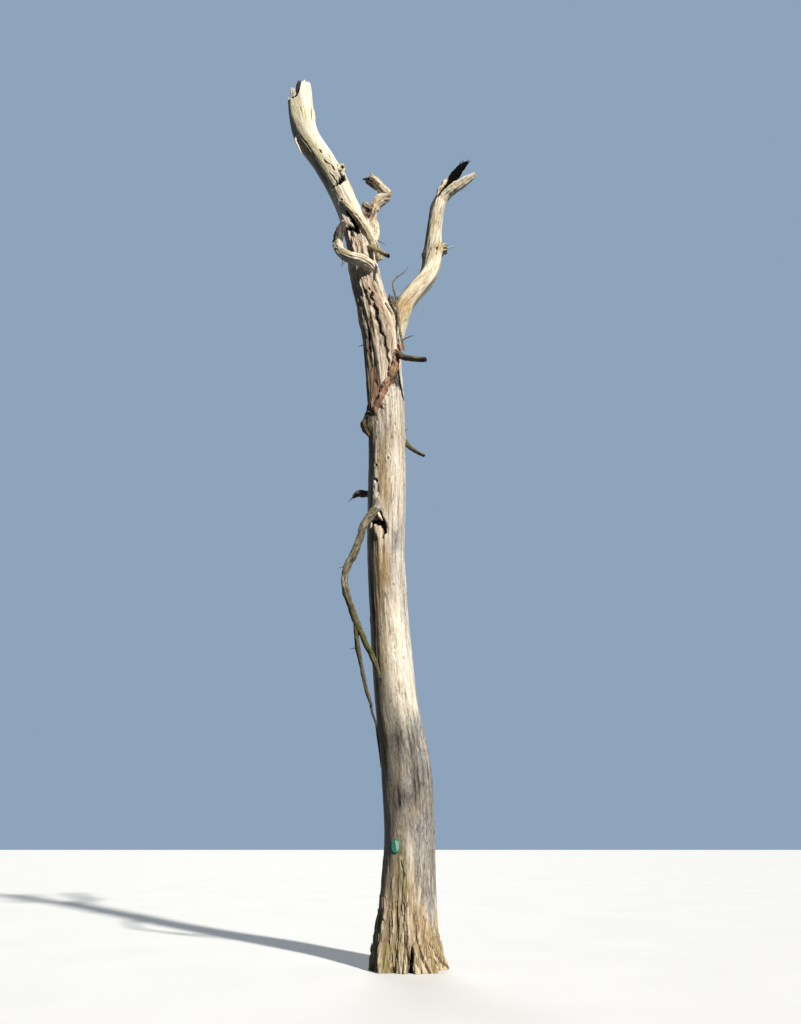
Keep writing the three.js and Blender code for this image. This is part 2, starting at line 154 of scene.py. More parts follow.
class Limb:
    """Rows of frames along a limb, and its section."""

    def __init__(self, name, stations, q_rows=None, step=None, cols=64, section=None, up=False):
        line = Line(stations, up)
        if q_rows is None:
            n = max(int(line.length / step), 8)
            q_rows = np.linspace(0, line.length, n + 1)
        self.name, self.line, self.q, self.cols = name, line, q_rows, cols
        at = line.at(q_rows)
        self.c, self.r = at[:, :3], at[:, 3]
        e = line.length * 1e-4
        t = line.at(np.minimum(q_rows + e, line.length))[:, :3] - line.at(np.maximum(q_rows - e, 0))[:, :3]
        t /= np.linalg.norm(t, axis=1)[:, None]
        if up:
            t[0] = (0, 0, 1)
        u = np.zeros_like(t)
        a = np.array([1.0, 0, 0]) if abs(t[0, 0]) < 0.8 else np.array([0, 0, 1.0])
        for i in range(len(t)):
            a = a - t[i] * (a @ t[i])
            a = a / np.linalg.norm(a)
            u[i] = a
        self.t, self.u, self.v = t, u, np.cross(t, u)
        self.A = 2 * np.pi * np.arange(cols) / cols
        self.section = section
        self.R = section(self.A[None, :], q_rows[:, None], self.r[:, None], self.c[:, 2:3])
        self.girth = 2 * np.pi * float(np.mean(self.r))

    def radial(self):
        return np.cos(self.A)[None, :, None] * self.u[:, None] + np.sin(self.A)[None, :, None] * self.v[:, None]

    def distance(self, points):
        """Signed distance from points to this limb's skin, and the radius there."""
        out = np.empty(len(points))
        rad = np.empty(len(points))
        for a in range(0, len(points), 20000):
            p = points[a:a + 20000]
            i = ((self.c**2).sum(1)[None, :] - 2 * p @ self.c.T).argmin(1)
            o = p - self.c[i]
            x, y, w = (o * self.u[i]).sum(1), (o * self.v[i]).sum(1), (o * self.t[i]).sum(1)
            edge = self.section(np.arctan2(y, x), self.q[i], self.r[i], self.c[i, 2])
            d = np.hypot(x, y) - edge
            past = np.maximum(np.abs(w) - 12, 0)
            ends = (i == 0) | (i == len(self.q) - 1)
            out[a:a + 20000] = np.where(ends & (past > 0), np.hypot(np.maximum(d, 0), past), d)
            rad[a:a + 20000] = self.r[i]
        return out, rad


# ---------------------------------------------------------------- seeded fields on a limb
def field(q, cols, girth, along, across, seed, turn=None):
    """Smooth noise over rows q and the columns round a limb, of spread 1. Its blobs are
    about along by across millimetres. turn is how far the grain winds round, in radians."""
    rng = np.random.default_rng(seed)
    step = along / 6
    n = int((q[-1] - q[0]) / step) + 6
    n += n % 2
    white = rng.standard_normal((n, cols))
    fa, fb = np.fft.fftfreq(n)[:, None], np.fft.rfftfreq(cols)[None, :]
    sa, sb = along / 2.5 / step, across / 2.5 / (girth / cols)
    f = np.fft.irfft2(np.fft.rfft2(white) * np.exp(-2 * np.pi**2 * ((fa * sa) ** 2 + (fb * sb) ** 2)), s=white.shape)
    f /= f.std() + 1e-9
    row = (q - q[0]) / step
    i = np.floor(row).astype(int)
    w = (row - i)[:, None]
    if turn is None:
        return f[i] * (1 - w) + f[i + 1] * w
    col = (np.arange(cols)[None, :] - turn[:, None] * cols / (2 * np.pi)) % cols
    j = np.floor(col).astype(int) % cols
    x = col - np.floor(col)
    k = (j + 1) % cols
    i = i[:, None]
    return (f[i, j] * (1 - w) + f[i + 1, j] * w) * (1 - x) + (f[i, k] * (1 - w) + f[i + 1, k] * w) * x


def lines(f, width):
    """1 along the zero line of a field, falling to 0 beside it."""
    return np.exp(-((f / width) ** 2))


def along_path(limb, points, pad):
    """Rows near a path of (q, degrees, ...) and each vertex's distance to it in millimetres,
    with the path's own extra numbers at the nearest place."""
    p = np.array(points, float)
    q, cols = limb.q, limb.cols
    lo, hi = np.searchsorted(q, p[:, 0].min() - pad), np.searchsorted(q, p[:, 0].max() + pad)
    lo, hi = max(lo, 0), min(max(hi, lo + 1), len(q))
    rows = slice(lo, hi)
    rm = limb.R[rows].mean(1)[:, None]
    Q = np.repeat(q[rows][:, None], cols, 1)
    best = np.full(Q.shape, 1e9)
    extra = np.zeros(Q.shape + (p.shape[1] - 2,))
    place = np.zeros(Q.shape)
    total = 0.0
    count = max(len(p) - 1, 1)
    for k in range(count):
        a, b = p[k], p[min(k + 1, len(p) - 1)]
        da = np.radians(b[1] - a[1])
        X = limb.A[None, :] - math.radians(a[1])
        X = np.arctan2(np.sin(X), np.cos(X)) * rm
        bx = da * float(rm.mean())
        by = b[0] - a[0]
        L2 = bx * bx + by * by + 1e-9
        w = np.clip((X * bx + (Q - a[0]) * by) / L2, 0, 1)
        d = np.hypot(X - w * bx, Q - a[0] - w * by)
        m = d < best
        best = np.where(m, d, best)
        place = np.where(m, (k + w) / count, place)
        e = a[None, None, 2:] * (1 - w[..., None]) + b[None, None, 2:] * w[..., None]
        extra = np.where(m[..., None], e, extra)
    return rows, best, extra, place


def blur(X, across, along):
    """Smooth a grid over across columns and along rows."""
    n = X.shape[1]
    X = np.fft.irfft(np.fft.rfft(X, axis=1) * np.exp(-2 * np.pi**2 * (np.fft.rfftfreq(n) * across) ** 2), n=n, axis=1)
    for _ in range(2):
        pad = np.pad(X, ((along + 1, along), (0, 0)), mode="edge")
        c = np.cumsum(pad, 0)
        X = (c[2 * along + 1:] - c[:-(2 * along + 1)]) / (2 * along + 1)
    return X


def valleys(f, width):
    """Sharp-bottomed grooves along the zero line of a field, 0 to 1."""
    return np.exp(-np.abs(f) / width)


class Relief:
    """Height over a limb's grid, and how deep in a crack each place is."""

    def __init__(self, limb, seed):
        self.limb = limb
        self.D = np.zeros(limb.R.shape)
        self.crack = np.zeros(limb.R.shape)
        self.wave = field(limb.q, limb.cols, limb.girth, 120, 60, seed)
        self.wave2 = field(limb.q, limb.cols, limb.girth, 60, 34, seed + 1)

    def cut(self, points, pad=120, dark=1.0, power=2.2):
        """Cut a crack along points (q, degrees, half width, depth)."""
        rows, d, e, place = along_path(self.limb, points, pad)
        half, depth = e[..., 0], e[..., 1]
        d = np.abs(d + half * (0.30 * self.wave[rows] + 0.22 * self.wave2[rows]))
        g = np.exp(-((d / np.maximum(half, 1)) ** power))
        self.D[rows] -= depth * g
        # the crack mark is painted dark by the wood material, as shade inside the crack
        self.crack[rows] = np.maximum(self.crack[rows], np.clip(1.2 * g * dark, 0, 1) * smooth(4, 26, depth))

    def swell(self, points, pad=200):
        """Raise a rounded ridge along points (q, degrees, half width, height)."""
        rows, d, e, place = along_path(self.limb, points, pad)
        self.D[rows] += e[..., 1] * np.exp(-((d / np.maximum(e[..., 0], 1)) ** 2))

    def knot(self, q0, deg, half, lip, depth, squeeze=1.5):
        """A knot: a raised ring round a sunken heart."""
        rows, d, e, place = along_path(self.limb, [(q0 - half * (squeeze - 1), deg), (q0 + half * (squeeze - 1), deg)], 4 * half)
        d = np.abs(d + half * 0.16 * self.wave2[rows])
        self.D[rows] += lip * np.exp(-(((d - half) / (0.45 * half)) ** 2)) - depth * np.exp(-((d / (0.62 * half)) ** 4))
        # the knot's sunken heart is marked for painted shade
        self.crack[rows] = np.maximum(self.crack[rows], np.exp(-((d / (0.6 * half)) ** 4)) * smooth(4, 25, depth))


def where(limb, x, y, z):
    """Distance along a limb and degrees round it of the skin nearest to a place."""
    d = np.array([x, y, z], float) - limb.c
    i = int(np.argmin(np.linalg.norm(d, axis=1)))
    return limb.q[i], math.degrees(math.atan2(d[i] @ limb.v[i], d[i] @ limb.u[i]))


# ---------------------------------------------------------------- mesh building
def normals_of(P):
    """Outward normals of a grid closed round its columns."""
    du = np.roll(P, -1, 1) - np.roll(P, 1, 1)
    dv = np.gradient(P, axis=0)
    n = np.cross(du, dv)
    return n / (np.linalg.norm(n, axis=2)[..., None] + 1e-9)


def make_mesh(name, verts_mm, faces, normals=None, uv=None, vectors=None):
    mesh = bpy.data.meshes.new(name)
    mesh.from_pydata((np.asarray(verts_mm) * 0.001).tolist(), [], faces.tolist() if hasattr(faces, "tolist") else faces)
    mesh.polygons.foreach_set("use_smooth", np.ones(len(mesh.polygons), bool))
    if uv is not None:
        layer = mesh.uv_layers.new(name="OFBake")
        layer.data.foreach_set("uv", np.asarray(uv, np.float32).ravel())
    for key, values in (vectors or {}).items():
        attribute = mesh.attributes.new(key, "FLOAT_VECTOR", "POINT")
        attribute.data.foreach_set("vector", np.asarray(values, np.float32).ravel())
    if normals is not None:
        mesh.normals_split_custom_set_from_vertices(np.asarray(normals, float).tolist())
    obj = bpy.data.objects.new(name, mesh)
    bpy.context.scene.collection.objects.link(obj)
    return obj


def grid_object(name, P, N, vectors, start=False, end=False):
    """A tube from a grid of points. start and end close it with a fan of quads."""
    rows, cols = P.shape[:2]
    verts = P.reshape(-1, 3)
    i = np.arange(rows - 1)[:, None] * cols
    k = np.arange(cols)[None, :]
    n = (k + 1) % cols
    quads = np.stack([i + k, i + n, i + cols + n, i + cols + k], -1).reshape(-1, 4)
    length = np.linalg.norm(np.diff(P.mean(1), axis=0), axis=1)
    spread = np.linalg.norm(np.diff(P, axis=0), axis=2).mean(1)
    v = np.concatenate([[0], np.cumsum(np.maximum(length, spread))])
    low, high = (0.03 if start else 0.002), (0.97 if end else 0.998)
    v = low + (high - low) * v / v[-1]
    vi = np.repeat(v[:-1, None], cols, 1)
    vj = np.repeat(v[1:, None], cols, 1)
    uk = np.repeat((0.002 + 0.996 * np.arange(cols) / cols)[None, :], rows - 1, 0)
    un = np.repeat((0.002 + 0.996 * (np.arange(cols) + 1) / cols)[None, :], rows - 1, 0)
    uv = np.stack([np.stack([uk, vi], -1), np.stack([un, vi], -1), np.stack([un, vj], -1), np.stack([uk, vj], -1)], 2).reshape(-1, 2)
    parts, uvs, extra = [quads], [uv], []
    half = np.arange(0, cols, 2)
    for which, on in ((0, start), (1, end)):
        if not on:
            continue
        base = 0 if which == 0 else (rows - 1) * cols
        centre = len(verts) + len(extra)
        ring = P[0] if which == 0 else P[-1]
        extra.append(which)
        a, b, c = base + half, base + half + 1, base + (half + 2) % cols
        f = np.stack([np.full(len(half), centre), c, b, a] if which == 0 else [np.full(len(half), centre), a, b, c], -1)
        parts.append(f)
        ua, ub, uc = (0.002 + 0.996 * x / cols for x in (half, half + 1, half + 2))
        ve, vc = (v[0], 0.001) if which == 0 else (v[-1], 0.999)
        order = [(ub, vc), (uc, ve), (ub, ve), (ua, ve)] if which == 0 else [(ub, vc), (ua, ve), (ub, ve), (uc, ve)]
        uvs.append(np.stack([np.stack([x, np.full(len(half), y)], -1) for x, y in order], 1).reshape(-1, 2))
    normals = N.reshape(-1, 3)
    vec = {key: val.reshape(-1, 3) for key, val in vectors.items()}
    for which in extra:
        row = 0 if which == 0 else -1
        verts = np.vstack([verts, P[row].mean(0)])
        d = P[row].mean(0) - P[1 if which == 0 else -2].mean(0)
        normals = np.vstack([normals, d / (np.linalg.norm(d) + 1e-9)])
        vec = {key: np.vstack([val, vectors[key][row].mean(0)]) for key, val in vec.items()}
    return make_mesh(name, verts, np.vstack(parts), normals, np.vstack(uvs), vec)


def finish_piece(obj, material, nodes=()):
    obj.data.materials.append(material)
    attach(obj, "root")
    if nodes:
        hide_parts(*nodes)
    return obj


# ---------------------------------------------------------------- materials
class Graph:
    def __init__(self, name):
        self.material = bpy.data.materials.new(name)
        self.material.use_nodes = True
        self.tree = self.material.node_tree
        self.tree.nodes.clear()
        self.out = self.tree.nodes.new("ShaderNodeOutputMaterial")
        self.shader = self.tree.nodes.new("ShaderNodeBsdfPrincipled")
        self.tree.links.new(self.shader.outputs[0], self.out.inputs[0])

    def put(self, socket, value):
        if isinstance(value, bpy.types.NodeSocket):
            self.tree.links.new(value, socket)
        elif isinstance(value, (tuple, list)) and len(value) == 3 and socket.type == "RGBA":
            socket.default_value = (*value, 1)
        else:
            socket.default_value = value

    def attribute(self, name):
        n = self.tree.nodes.new("ShaderNodeAttribute")
        n.attribute_name = name
        return n.outputs["Vector"]

    def split(self, vector):
        n = self.tree.nodes.new("ShaderNodeSeparateXYZ")
        self.put(n.inputs[0], vector)
        return n.outputs[0], n.outputs[1], n.outputs[2]

    def stretch(self, vector, x, y, z, shift=(0, 0, 0)):
        n = self.tree.nodes.new("ShaderNodeMapping")
        self.put(n.inputs["Vector"], vector)
        n.inputs["Scale"].default_value = (x, y, z)
        n.inputs["Location"].default_value = shift
        return n.outputs[0]

    def noise(self, vector, scale, detail=3.0, rough=0.55, distort=0.0):
        n = self.tree.nodes.new("ShaderNodeTexNoise")
        self.put(n.inputs["Vector"], vector)
        n.inputs["Scale"].default_value = scale
        n.inputs["Detail"].default_value = detail
        n.inputs["Roughness"].default_value = rough
        n.inputs["Distortion"].default_value = distort
        return n.outputs["Fac"]

    def maths(self, operation, *values, clamp=False):
        n = self.tree.nodes.new("ShaderNodeMath")
        n.operation = operation
        n.use_clamp = clamp
        for socket, value in zip(n.inputs, values):
            self.put(socket, value)
        return n.outputs[0]

    def range(self, value, a, b, c=0.0, d=1.0, smoothed=False):
        n = self.tree.nodes.new("ShaderNodeMapRange")
        n.interpolation_type = "SMOOTHSTEP" if smoothed else "LINEAR"
        for socket, x in zip(n.inputs, (value, a, b, c, d)):
            self.put(socket, x)
        return n.outputs[0]

    def mix(self, factor, a, b, blend="MIX"):
        n = self.tree.nodes.new("ShaderNodeMix")
        n.data_type = "RGBA"
        n.blend_type = blend
        n.clamp_factor = True
        self.put(n.inputs[0], factor)
        self.put(n.inputs[6], a)
        self.put(n.inputs[7], b)
        return n.outputs[2]

    def bump(self, height, distance, strength, normal=None):
        n = self.tree.nodes.new("ShaderNodeBump")
        n.inputs["Distance"].default_value = distance
        n.inputs["Strength"].default_value = strength
        self.put(n.inputs["Height"], height)
        if normal is not None:
            self.put(n.inputs["Normal"], normal)
        return n.outputs[0]


def wood(name, pale, deep, grey=(0.40, 0.385, 0.375), grey_dark=(0.12, 0.118, 0.13), ochre=(0.60, 0.41, 0.175),
         red=(0.29, 0.13, 0.075), algae=(0.33, 0.30, 0.085), dark=(0.014, 0.012, 0.011), brown=(0.22, 0.14, 0.082)):
    """Weathered wood. tone_a holds grey, ochre and red, tone_b holds algae, dark and crack depth,
    tone_c holds how bleached it is, the height of the relief (-1 to 1) and moss."""
    g = Graph(name)
    at = g.attribute("grain")
    grey_m, ochre_m, red_m = g.split(g.attribute("tone_a"))
    algae_m, dark_m, crack_m = g.split(g.attribute("tone_b"))
    bleach_m, relief_m, moss_m = g.split(g.attribute("tone_c"))
    streak = g.noise(g.stretch(at, 1, 1, 0.10), 62, 5, 0.64)               # streaks about 16 by 160 mm
    broad = g.noise(g.stretch(at, 1, 1, 0.09, (2, 6, 4)), 15, 4, 0.6)       # bands about 60 by 700 mm
    fibre = g.noise(g.stretch(at, 1, 1, 0.05, (3, 1, 2)), 230, 4, 0.65)     # fibres about 4 by 80 mm
    dash = g.noise(g.stretch(at, 1, 1, 0.25, (7, 4, 1)), 50, 4, 0.7)        # flecks about 20 by 80 mm
    blotch = g.noise(g.stretch(at, 1, 1, 0.35, (1, 9, 3)), 4.2, 5, 0.65, 0.3)
    speck = g.noise(g.stretch(at, 1, 1, 0.5, (4, 4, 9)), 120, 3, 0.6)
    vein = g.noise(g.stretch(at, 1, 1, 0.035, (5, 2, 8)), 26, 3, 0.5, 0.25)
    check = g.range(g.maths("ABSOLUTE", g.maths("SUBTRACT", vein, 0.5)), 0.0, 0.013, 1.0, 0.0)
    check = g.maths("MULTIPLY", check, g.range(blotch, 0.50, 0.60))
    body = g.maths("ADD", g.maths("MULTIPLY", streak, 0.55), g.maths("MULTIPLY", broad, 0.45))
    colour = g.mix(g.range(body, 0.40, 0.60), deep, pale)
    bright = name == "bough_wood"
    white = g.mix(g.range(streak, 0.32, 0.54), (0.82, 0.72, 0.56) if bright else (0.72, 0.61, 0.46), (0.95, 0.90, 0.78) if bright else (0.90, 0.85, 0.74))
    colour = g.mix(g.maths("MULTIPLY", bleach_m, g.range(body, 0.36, 0.52, 0.35, 1.0), clamp=True), colour, white)
    greyish = g.mix(g.range(dash, 0.38, 0.60), grey_dark, grey)
    grey_f = g.maths("MULTIPLY", grey_m, g.range(streak, 0.30, 0.6, 0.5, 1.25), clamp=True)
    colour = g.mix(grey_f, colour, greyish)
    ochre_c = g.mix(g.range(streak, 0.38, 0.62), tuple(0.40 * x for x in ochre), ochre)
    colour = g.mix(g.maths("MULTIPLY", ochre_m, g.range(blotch, 0.3, 0.6, 0.75, 1.15), clamp=True), colour, ochre_c)
    red_c = g.mix(g.range(fibre, 0.35, 0.65), tuple(0.4 * x for x in red), tuple(min(1.7 * x, 1) for x in red))
    colour = g.mix(g.maths("MULTIPLY", red_m, g.range(streak, 0.35, 0.6, 0.35, 1.2), clamp=True), colour, red_c)
    algae_c = g.mix(g.range(dash, 0.38, 0.6), tuple(0.45 * x for x in algae), algae)
    colour = g.mix(g.maths("MULTIPLY", algae_m, g.range(blotch, 0.35, 0.62, 0.35, 1.2), clamp=True), colour, algae_c)
    # brown in the hollows of the relief, paler on its ridges
    valley = g.maths("MULTIPLY", g.range(relief_m, -0.15, -1.0, 0.0, 0.85), g.range(dash, 0.30, 0.62, 1.15, 0.55), clamp=True)
    clean = g.range(bleach_m, 0.3, 1.0, 1.0, 0.55 if name == "bough_wood" else 0.9)
    valley = g.maths("MULTIPLY", valley, clean)
    colour = g.mix(valley, colour, brown)
    ridge = g.maths("MULTIPLY", g.range(relief_m, 0.2, 1.0, 0.0, 0.5), g.range(streak, 0.35, 0.6, 0.4, 1.0), clamp=True)
    colour = g.mix(ridge, colour, tuple(min(1.12 * x, 0.9) for x in pale))
    # flecks, fibres and drying cracks
    fleck = g.maths("MULTIPLY", g.range(dash, 0.445, 0.380), g.range(broad, 0.36, 0.60, 0.95, 0.35), clamp=True)
    colour = g.mix(g.maths("MULTIPLY", g.maths("MULTIPLY", fleck, 0.74), clean), colour, brown)
    colour = g.mix(g.maths("MULTIPLY", g.range(fibre, 0.33, 0.56, 0.46, 0.0), clean), colour, tuple(0.30 * x for x in deep))
    colour = g.mix(g.range(speck, 0.39, 0.33, 0.0, 0.18 if bright else 0.40), colour, brown)
    colour = g.mix(g.maths("MULTIPLY", check, 0.5 if bright else 0.85), colour, dark)
    moss_c = g.mix(g.range(speck, 0.4, 0.62), (0.04, 0.042, 0.010), (0.19, 0.185, 0.045))
    moss_f = g.range(g.maths("ADD", g.maths("MULTIPLY", moss_m, 1.3), g.maths("SUBTRACT", speck, 1.0)), -0.10, 0.22)
    colour = g.mix(moss_f, colour, moss_c)
    # the dark channel holds dark stains together with painted shade and painted shadow; crack depth darkens the colour
    # as painted shade inside cracks and cavities, the deepest near-black
    colour = g.mix(g.maths("MULTIPLY", dark_m, g.range(streak, 0.34, 0.62, 1.2, 0.75), clamp=True), colour, dark)
    colour = g.mix(g.range(crack_m, 0.05, 0.9), colour, dark)
    colour = g.mix(g.range(crack_m, 0.86, 0.99), colour, (0.0035, 0.003, 0.003))
    g.put(g.shader.inputs["Base Color"], colour)
    g.put(g.shader.inputs["Roughness"], g.range(streak, 0.3, 0.7, 0.92, 0.74))
    g.put(g.shader.inputs["Specular IOR Level"], g.range(crack_m, 0.2, 0.95, 0.22, 0.02))
    height = g.maths("ADD", g.maths("MULTIPLY", fibre, 0.5), g.maths("MULTIPLY", streak, 0.9))
    height = g.maths("SUBTRACT", height, g.maths("MULTIPLY", check, 1.0))
    height = g.maths("ADD", height, g.maths("MULTIPLY", dash, 0.6))
    height = g.maths("ADD", height, g.maths("MULTIPLY", speck, g.range(moss_m, 0.0, 0.5, 0.15, 1.6)))
    g.put(g.shader.inputs["Normal"], g.bump(height, 0.009, 0.55 if bright else 0.85))
    return g.material


WOODS = {
    "trunk_wood": wood("trunk_wood", (0.78, 0.69, 0.55), (0.50, 0.39, 0.27)),
    "bough_wood": wood("bough_wood", (0.84, 0.73, 0.50), (0.58, 0.44, 0.25), algae=(0.86, 0.78, 0.42)),
    "stub_wood": wood("stub_wood", (0.74, 0.62, 0.43), (0.40, 0.29, 0.18)),
    "dark_wood": wood("dark_wood", (0.15, 0.115, 0.08), (0.06, 0.045, 0.033), brown=(0.03, 0.022, 0.016)),
    "algae_wood": wood("algae_wood", (0.165, 0.13, 0.078), (0.065, 0.048, 0.03), grey=(0.47, 0.42, 0.29), grey_dark=(0.07, 0.065, 0.055), ochre=(0.16, 0.11, 0.05),
                        algae=(0.13, 0.13, 0.035), brown=(0.045, 0.032, 0.021)),
    "inner_bark": wood("inner_bark", (0.50, 0.315, 0.20), (0.23, 0.12, 0.075), brown=(0.10, 0.05, 0.03)),
}

# Places where the wood is stained, and where painted shade and painted shadow lie on it, in millimetres: centre, reach,
# kind, strength.
STAINS = [
    # painted shadow: the dark stains at the base of the crooked limb, over its maroon wood
    ((-735, -50, 12450), 150, "red", 1.0), ((-745, -60, 12420), 130, "dark", 0.5), ((-812, -60, 12660), 34, "dark", 0.6),
    # painted shadow cast by the leader's knob, down and to its left
    ((-1161, -194, 13161), 46, "dark", 0.8), ((-1231, -236, 13070), 50, "dark", 0.9), ((-1286, -236, 13000), 46, "dark", 0.7),
    # painted shadow at the crooked limb's base: the dark stains near 12600 mm up on this line
    ((-736, -257, 10539), 56, "dark", 0.9), ((-759, -32, 12492), 95, "red", 0.8), ((-722, -28, 12600), 90, "red", 0.8), ((-724, -28, 12600), 76, "dark", 0.62), ((-690, -20, 12690), 60, "dark", 0.4),
    # painted shade on the underside of the crooked limb's end
    ((-732, -46, 13184), 66, "dark", 0.8), ((-789, -66, 13213), 66, "dark", 0.8), ((-673, -77, 13178), 44, "dark", 0.5),
    # painted shadow: the dark patch on the leader left of the strand, under the curl's upper end
    ((-1078, -152, 11984), 58, "dark", 1.3), ((-1030, -178, 11962), 58, "dark", 1.3), ((-982, -202, 11940), 58, "dark", 1.3), ((-945, -208, 11912), 56, "dark", 1.3),
    ((-907, -212, 11885), 54, "dark", 1.2),
    ((-30, -137, 10415), 110, "brown", 0.8), ((60, -110, 10560), 110, "brown", 0.6), ((150, -60, 10700), 100, "brown", 0.45), ((-110, -150, 10250), 110, "brown", 0.8),
    ((455, 115, 11720), 60, "dark", 0.6), ((430, 125, 11620), 50, "dark", 0.5),
    ((-650, -225, 8100), 120, "dark", 0.75), ((-575, -235, 7830), 60, "bleach", 0.6), ((-590, -230, 7790), 60, "algae", 0.5),
    ((-470, -290, 6900), 160, "bleach", 0.7), ((-480, -300, 7200), 140, "bleach", 0.5), ((-500, -300, 7080), 36, "dark", 0.5),
    # the dark stains on this line are painted shade in the knob's hole and painted shadow below the knob
    ((-1228, -236, 13390), 40, "dark", 1.0), ((-1305, -210, 13400), 46, "brown", 1.0), ((-1262, -225, 13200), 110, "dark", 0.5), ((-1330, -240, 13130), 60, "dark", 0.5),
    ((-150, -180, 10050), 160, "ochre", 0.8), ((-60, -140, 10330), 130, "ochre", 0.5), ((-150, -150, 9900), 150, "red", 0.35),
    ((650, 152, 12650), 46, "red", 0.55), ((605, 153, 12421), 40, "red", 0.45), ((630, 130, 12540), 40, "red", 0.4),
    ((560, 110, 11780), 46, "dark", 0.45), ((640, 200, 11830), 60, "ochre", 0.6), ((700, 230, 11880), 60, "dark", 0.35),
    ((-1444, -281, 13321), 150, "ochre", 0.35), ((-1500, -300, 13450), 110, "brown", 0.4),
    ((-566, -300, 6220), 110, "dark", 0.35), ((-500, -290, 6420), 100, "dark", 0.25),
    ((-560, -170, 8020), 130, "dark", 0.35), ((-600, -160, 7740), 60, "bleach", 0.7),
    ((-1160, -505, 11090), 70, "bleach", 0.8),
    # painted shadow: the dark stains at the base of the crooked limb
    ((-743, -60, 12381), 60, "dark", 0.75), ((-684, -45, 12528), 56, "dark", 0.7), ((-640, -30, 12640), 46, "brown", 0.7), ((-560, 0, 12800), 70, "brown", 0.35),
    ((-771, -21, 13208), 70, "dark", 0.8), ((-676, 25, 13154), 60, "dark", 0.75), ((-600, 58, 13112), 44, "dark", 0.5), ((-690, -110, 13290), 60, "brown", 0.5),
    ((547, 96, 11751), 26, "dark", 1.0), ((555, 96, 11627), 26, "dark", 0.9), ((652, 184, 11950), 50, "ochre", 0.6), ((600, 140, 11800), 80, "ochre", 0.6),
    ((521, 127, 12159), 50, "brown", 0.35), ((567, 145, 12582), 60, "brown", 0.35),
    # painted shadow of the fork stub on the trunk below the diagonal strand
    ((-195, -295, 8770), 48, "dark", 2.0), ((-180, -288, 8650), 46, "dark", 1.6), ((-142, -264, 8605), 46, "dark", 1.8), ((-170, -282, 8715), 60, "dark", 2.0), ((-138, -258, 8660), 60, "dark", 2.0), ((-106, -222, 8610), 48, "dark", 2.0), ((-84, -186, 8565), 36, "dark", 1.6),
    ((-159, -287, 2909), 115, "dark", 0.36), ((-159, -287, 2790), 105, "dark", 0.26), ((-175, -280, 2600), 90, "dark", 0.18), ((-150, -287, 2850), 190, "grey", 0.6),
    ((105, -220, 2990), 90, "dark", 0.30), ((88, -262, 2830), 110, "dark", 0.38), ((60, -270, 2700), 80, "dark", 0.20), ((90, -255, 2900), 210, "grey", 0.7), ((170, -180, 3120), 130, "grey", 0.6),
    ((160, -263, 2429), 85, "dark", 0.20), ((172, -270, 2271), 62, "dark", 0.42), ((130, -295, 2166), 80, "dark", 0.24), ((150, -270, 2350), 140, "grey", 0.5),
    ((-62, -311, 2126), 90, "dark", 0.36), ((-90, -307, 2000), 85, "dark", 0.34), ((20, -312, 2080), 90, "dark", 0.22), ((-20, -310, 1800), 150, "dark", 0.22), ((60, -310, 1700), 170, "grey", 0.4),
    ((155, -296, 1975), 80, "bleach", 0.6), ((70, -305, 1920), 70, "ochre", 0.35),
    ((-658, -550, 6020), 160, "grey", 0.4), ((-808, -595, 5538), 200, "grey", 0.45), ((-940, -590, 5132), 170, "grey", 0.35),
    ((-768, -500, 4542), 110, "moss", 0.25), ((-679, -450, 4339), 110, "moss", 0.42), ((-608, -400, 4184), 110, "moss", 0.48), ((-512, -350, 4001), 100, "moss", 0.42),
    ((-820, -520, 4680), 120, "algae", 0.6), ((-700, -470, 4400), 140, "algae", 0.8), ((-560, -390, 4100), 140, "algae", 0.8),
    ((-530, -330, 5900), 150, "brown", 0.6), ((-505, -300, 5550), 130, "brown", 0.5), ((-490, -280, 5200), 130, "brown", 0.45), ((-470, -270, 4800), 120, "brown", 0.4),
]
# The near-black slab of the forked tip: x, y, z and half width along it.
BLACK_SLAB = [(600, 140, 13030, 8), (700, 150, 13175, 42), (806, 180, 13300, 72), (896, 200, 13440, 96), (975, 240, 13620, 122), (1078, 262, 13800, 100), (1260, 272, 14080, 90)]


def stain(points, a, b, c, seed):
    """Add the stains, and the painted shade and shadow listed with them, to the three tone vectors of a grid of points.
    """
    n = 0.5 + 0.5 * np.clip(seed, -1.5, 1.5)
    for centre, reach, kind, strength in STAINS:
        d2 = ((points - np.array(centre, float)) ** 2).sum(-1)
        if d2.min() > (2.6 * reach) ** 2:
            continue
        f = strength * np.exp(-d2 / (reach * (0.75 + 0.5 * n)) ** 2)
        if kind == "brown":
            a[..., 1] = np.clip(a[..., 1] + 0.7 * f, 0, 1)
            a[..., 2] = np.clip(a[..., 2] + 0.4 * f, 0, 1)
            continue
        arr, k = {"grey": (a, 0), "ochre": (a, 1), "red": (a, 2), "algae": (b, 0), "dark": (b, 1), "bleach": (c, 0), "moss": (c, 2)}[kind]
        arr[..., k] = np.clip(arr[..., k] + f, 0, 1)
    path = np.array(BLACK_SLAB, float)
    if ((points - path[3, :3]) ** 2).sum(-1).min() < 900**2:
        best = np.full(points.shape[:-1], -1e9)
        for i in range(len(path) - 1):
            p, q = path[i, [0, 2]], path[i + 1, [0, 2]]
            o = points[..., [0, 2]] - p
            w = np.clip((o @ (q - p)) / ((q - p) @ (q - p)), 0, 1)
            d = np.linalg.norm(o - w[..., None] * (q - p), axis=-1)
            best = np.maximum(best, path[i, 3] * (1 - w) + path[i + 1, 3] * w - d)
        f = smooth(-10, 14, best + 10 * seed) * smooth(-60, 60, points[..., 1] * 0 + 60)
        b[..., 1] = np.clip(np.maximum(b[..., 1], 0.97 * f), 0, 1)
        b[..., 2] = np.clip(np.maximum(b[..., 2], f), 0, 1)
        a[..., 0] *= 1 - f
        c[..., 0] *= 1 - f
    return a, b, c


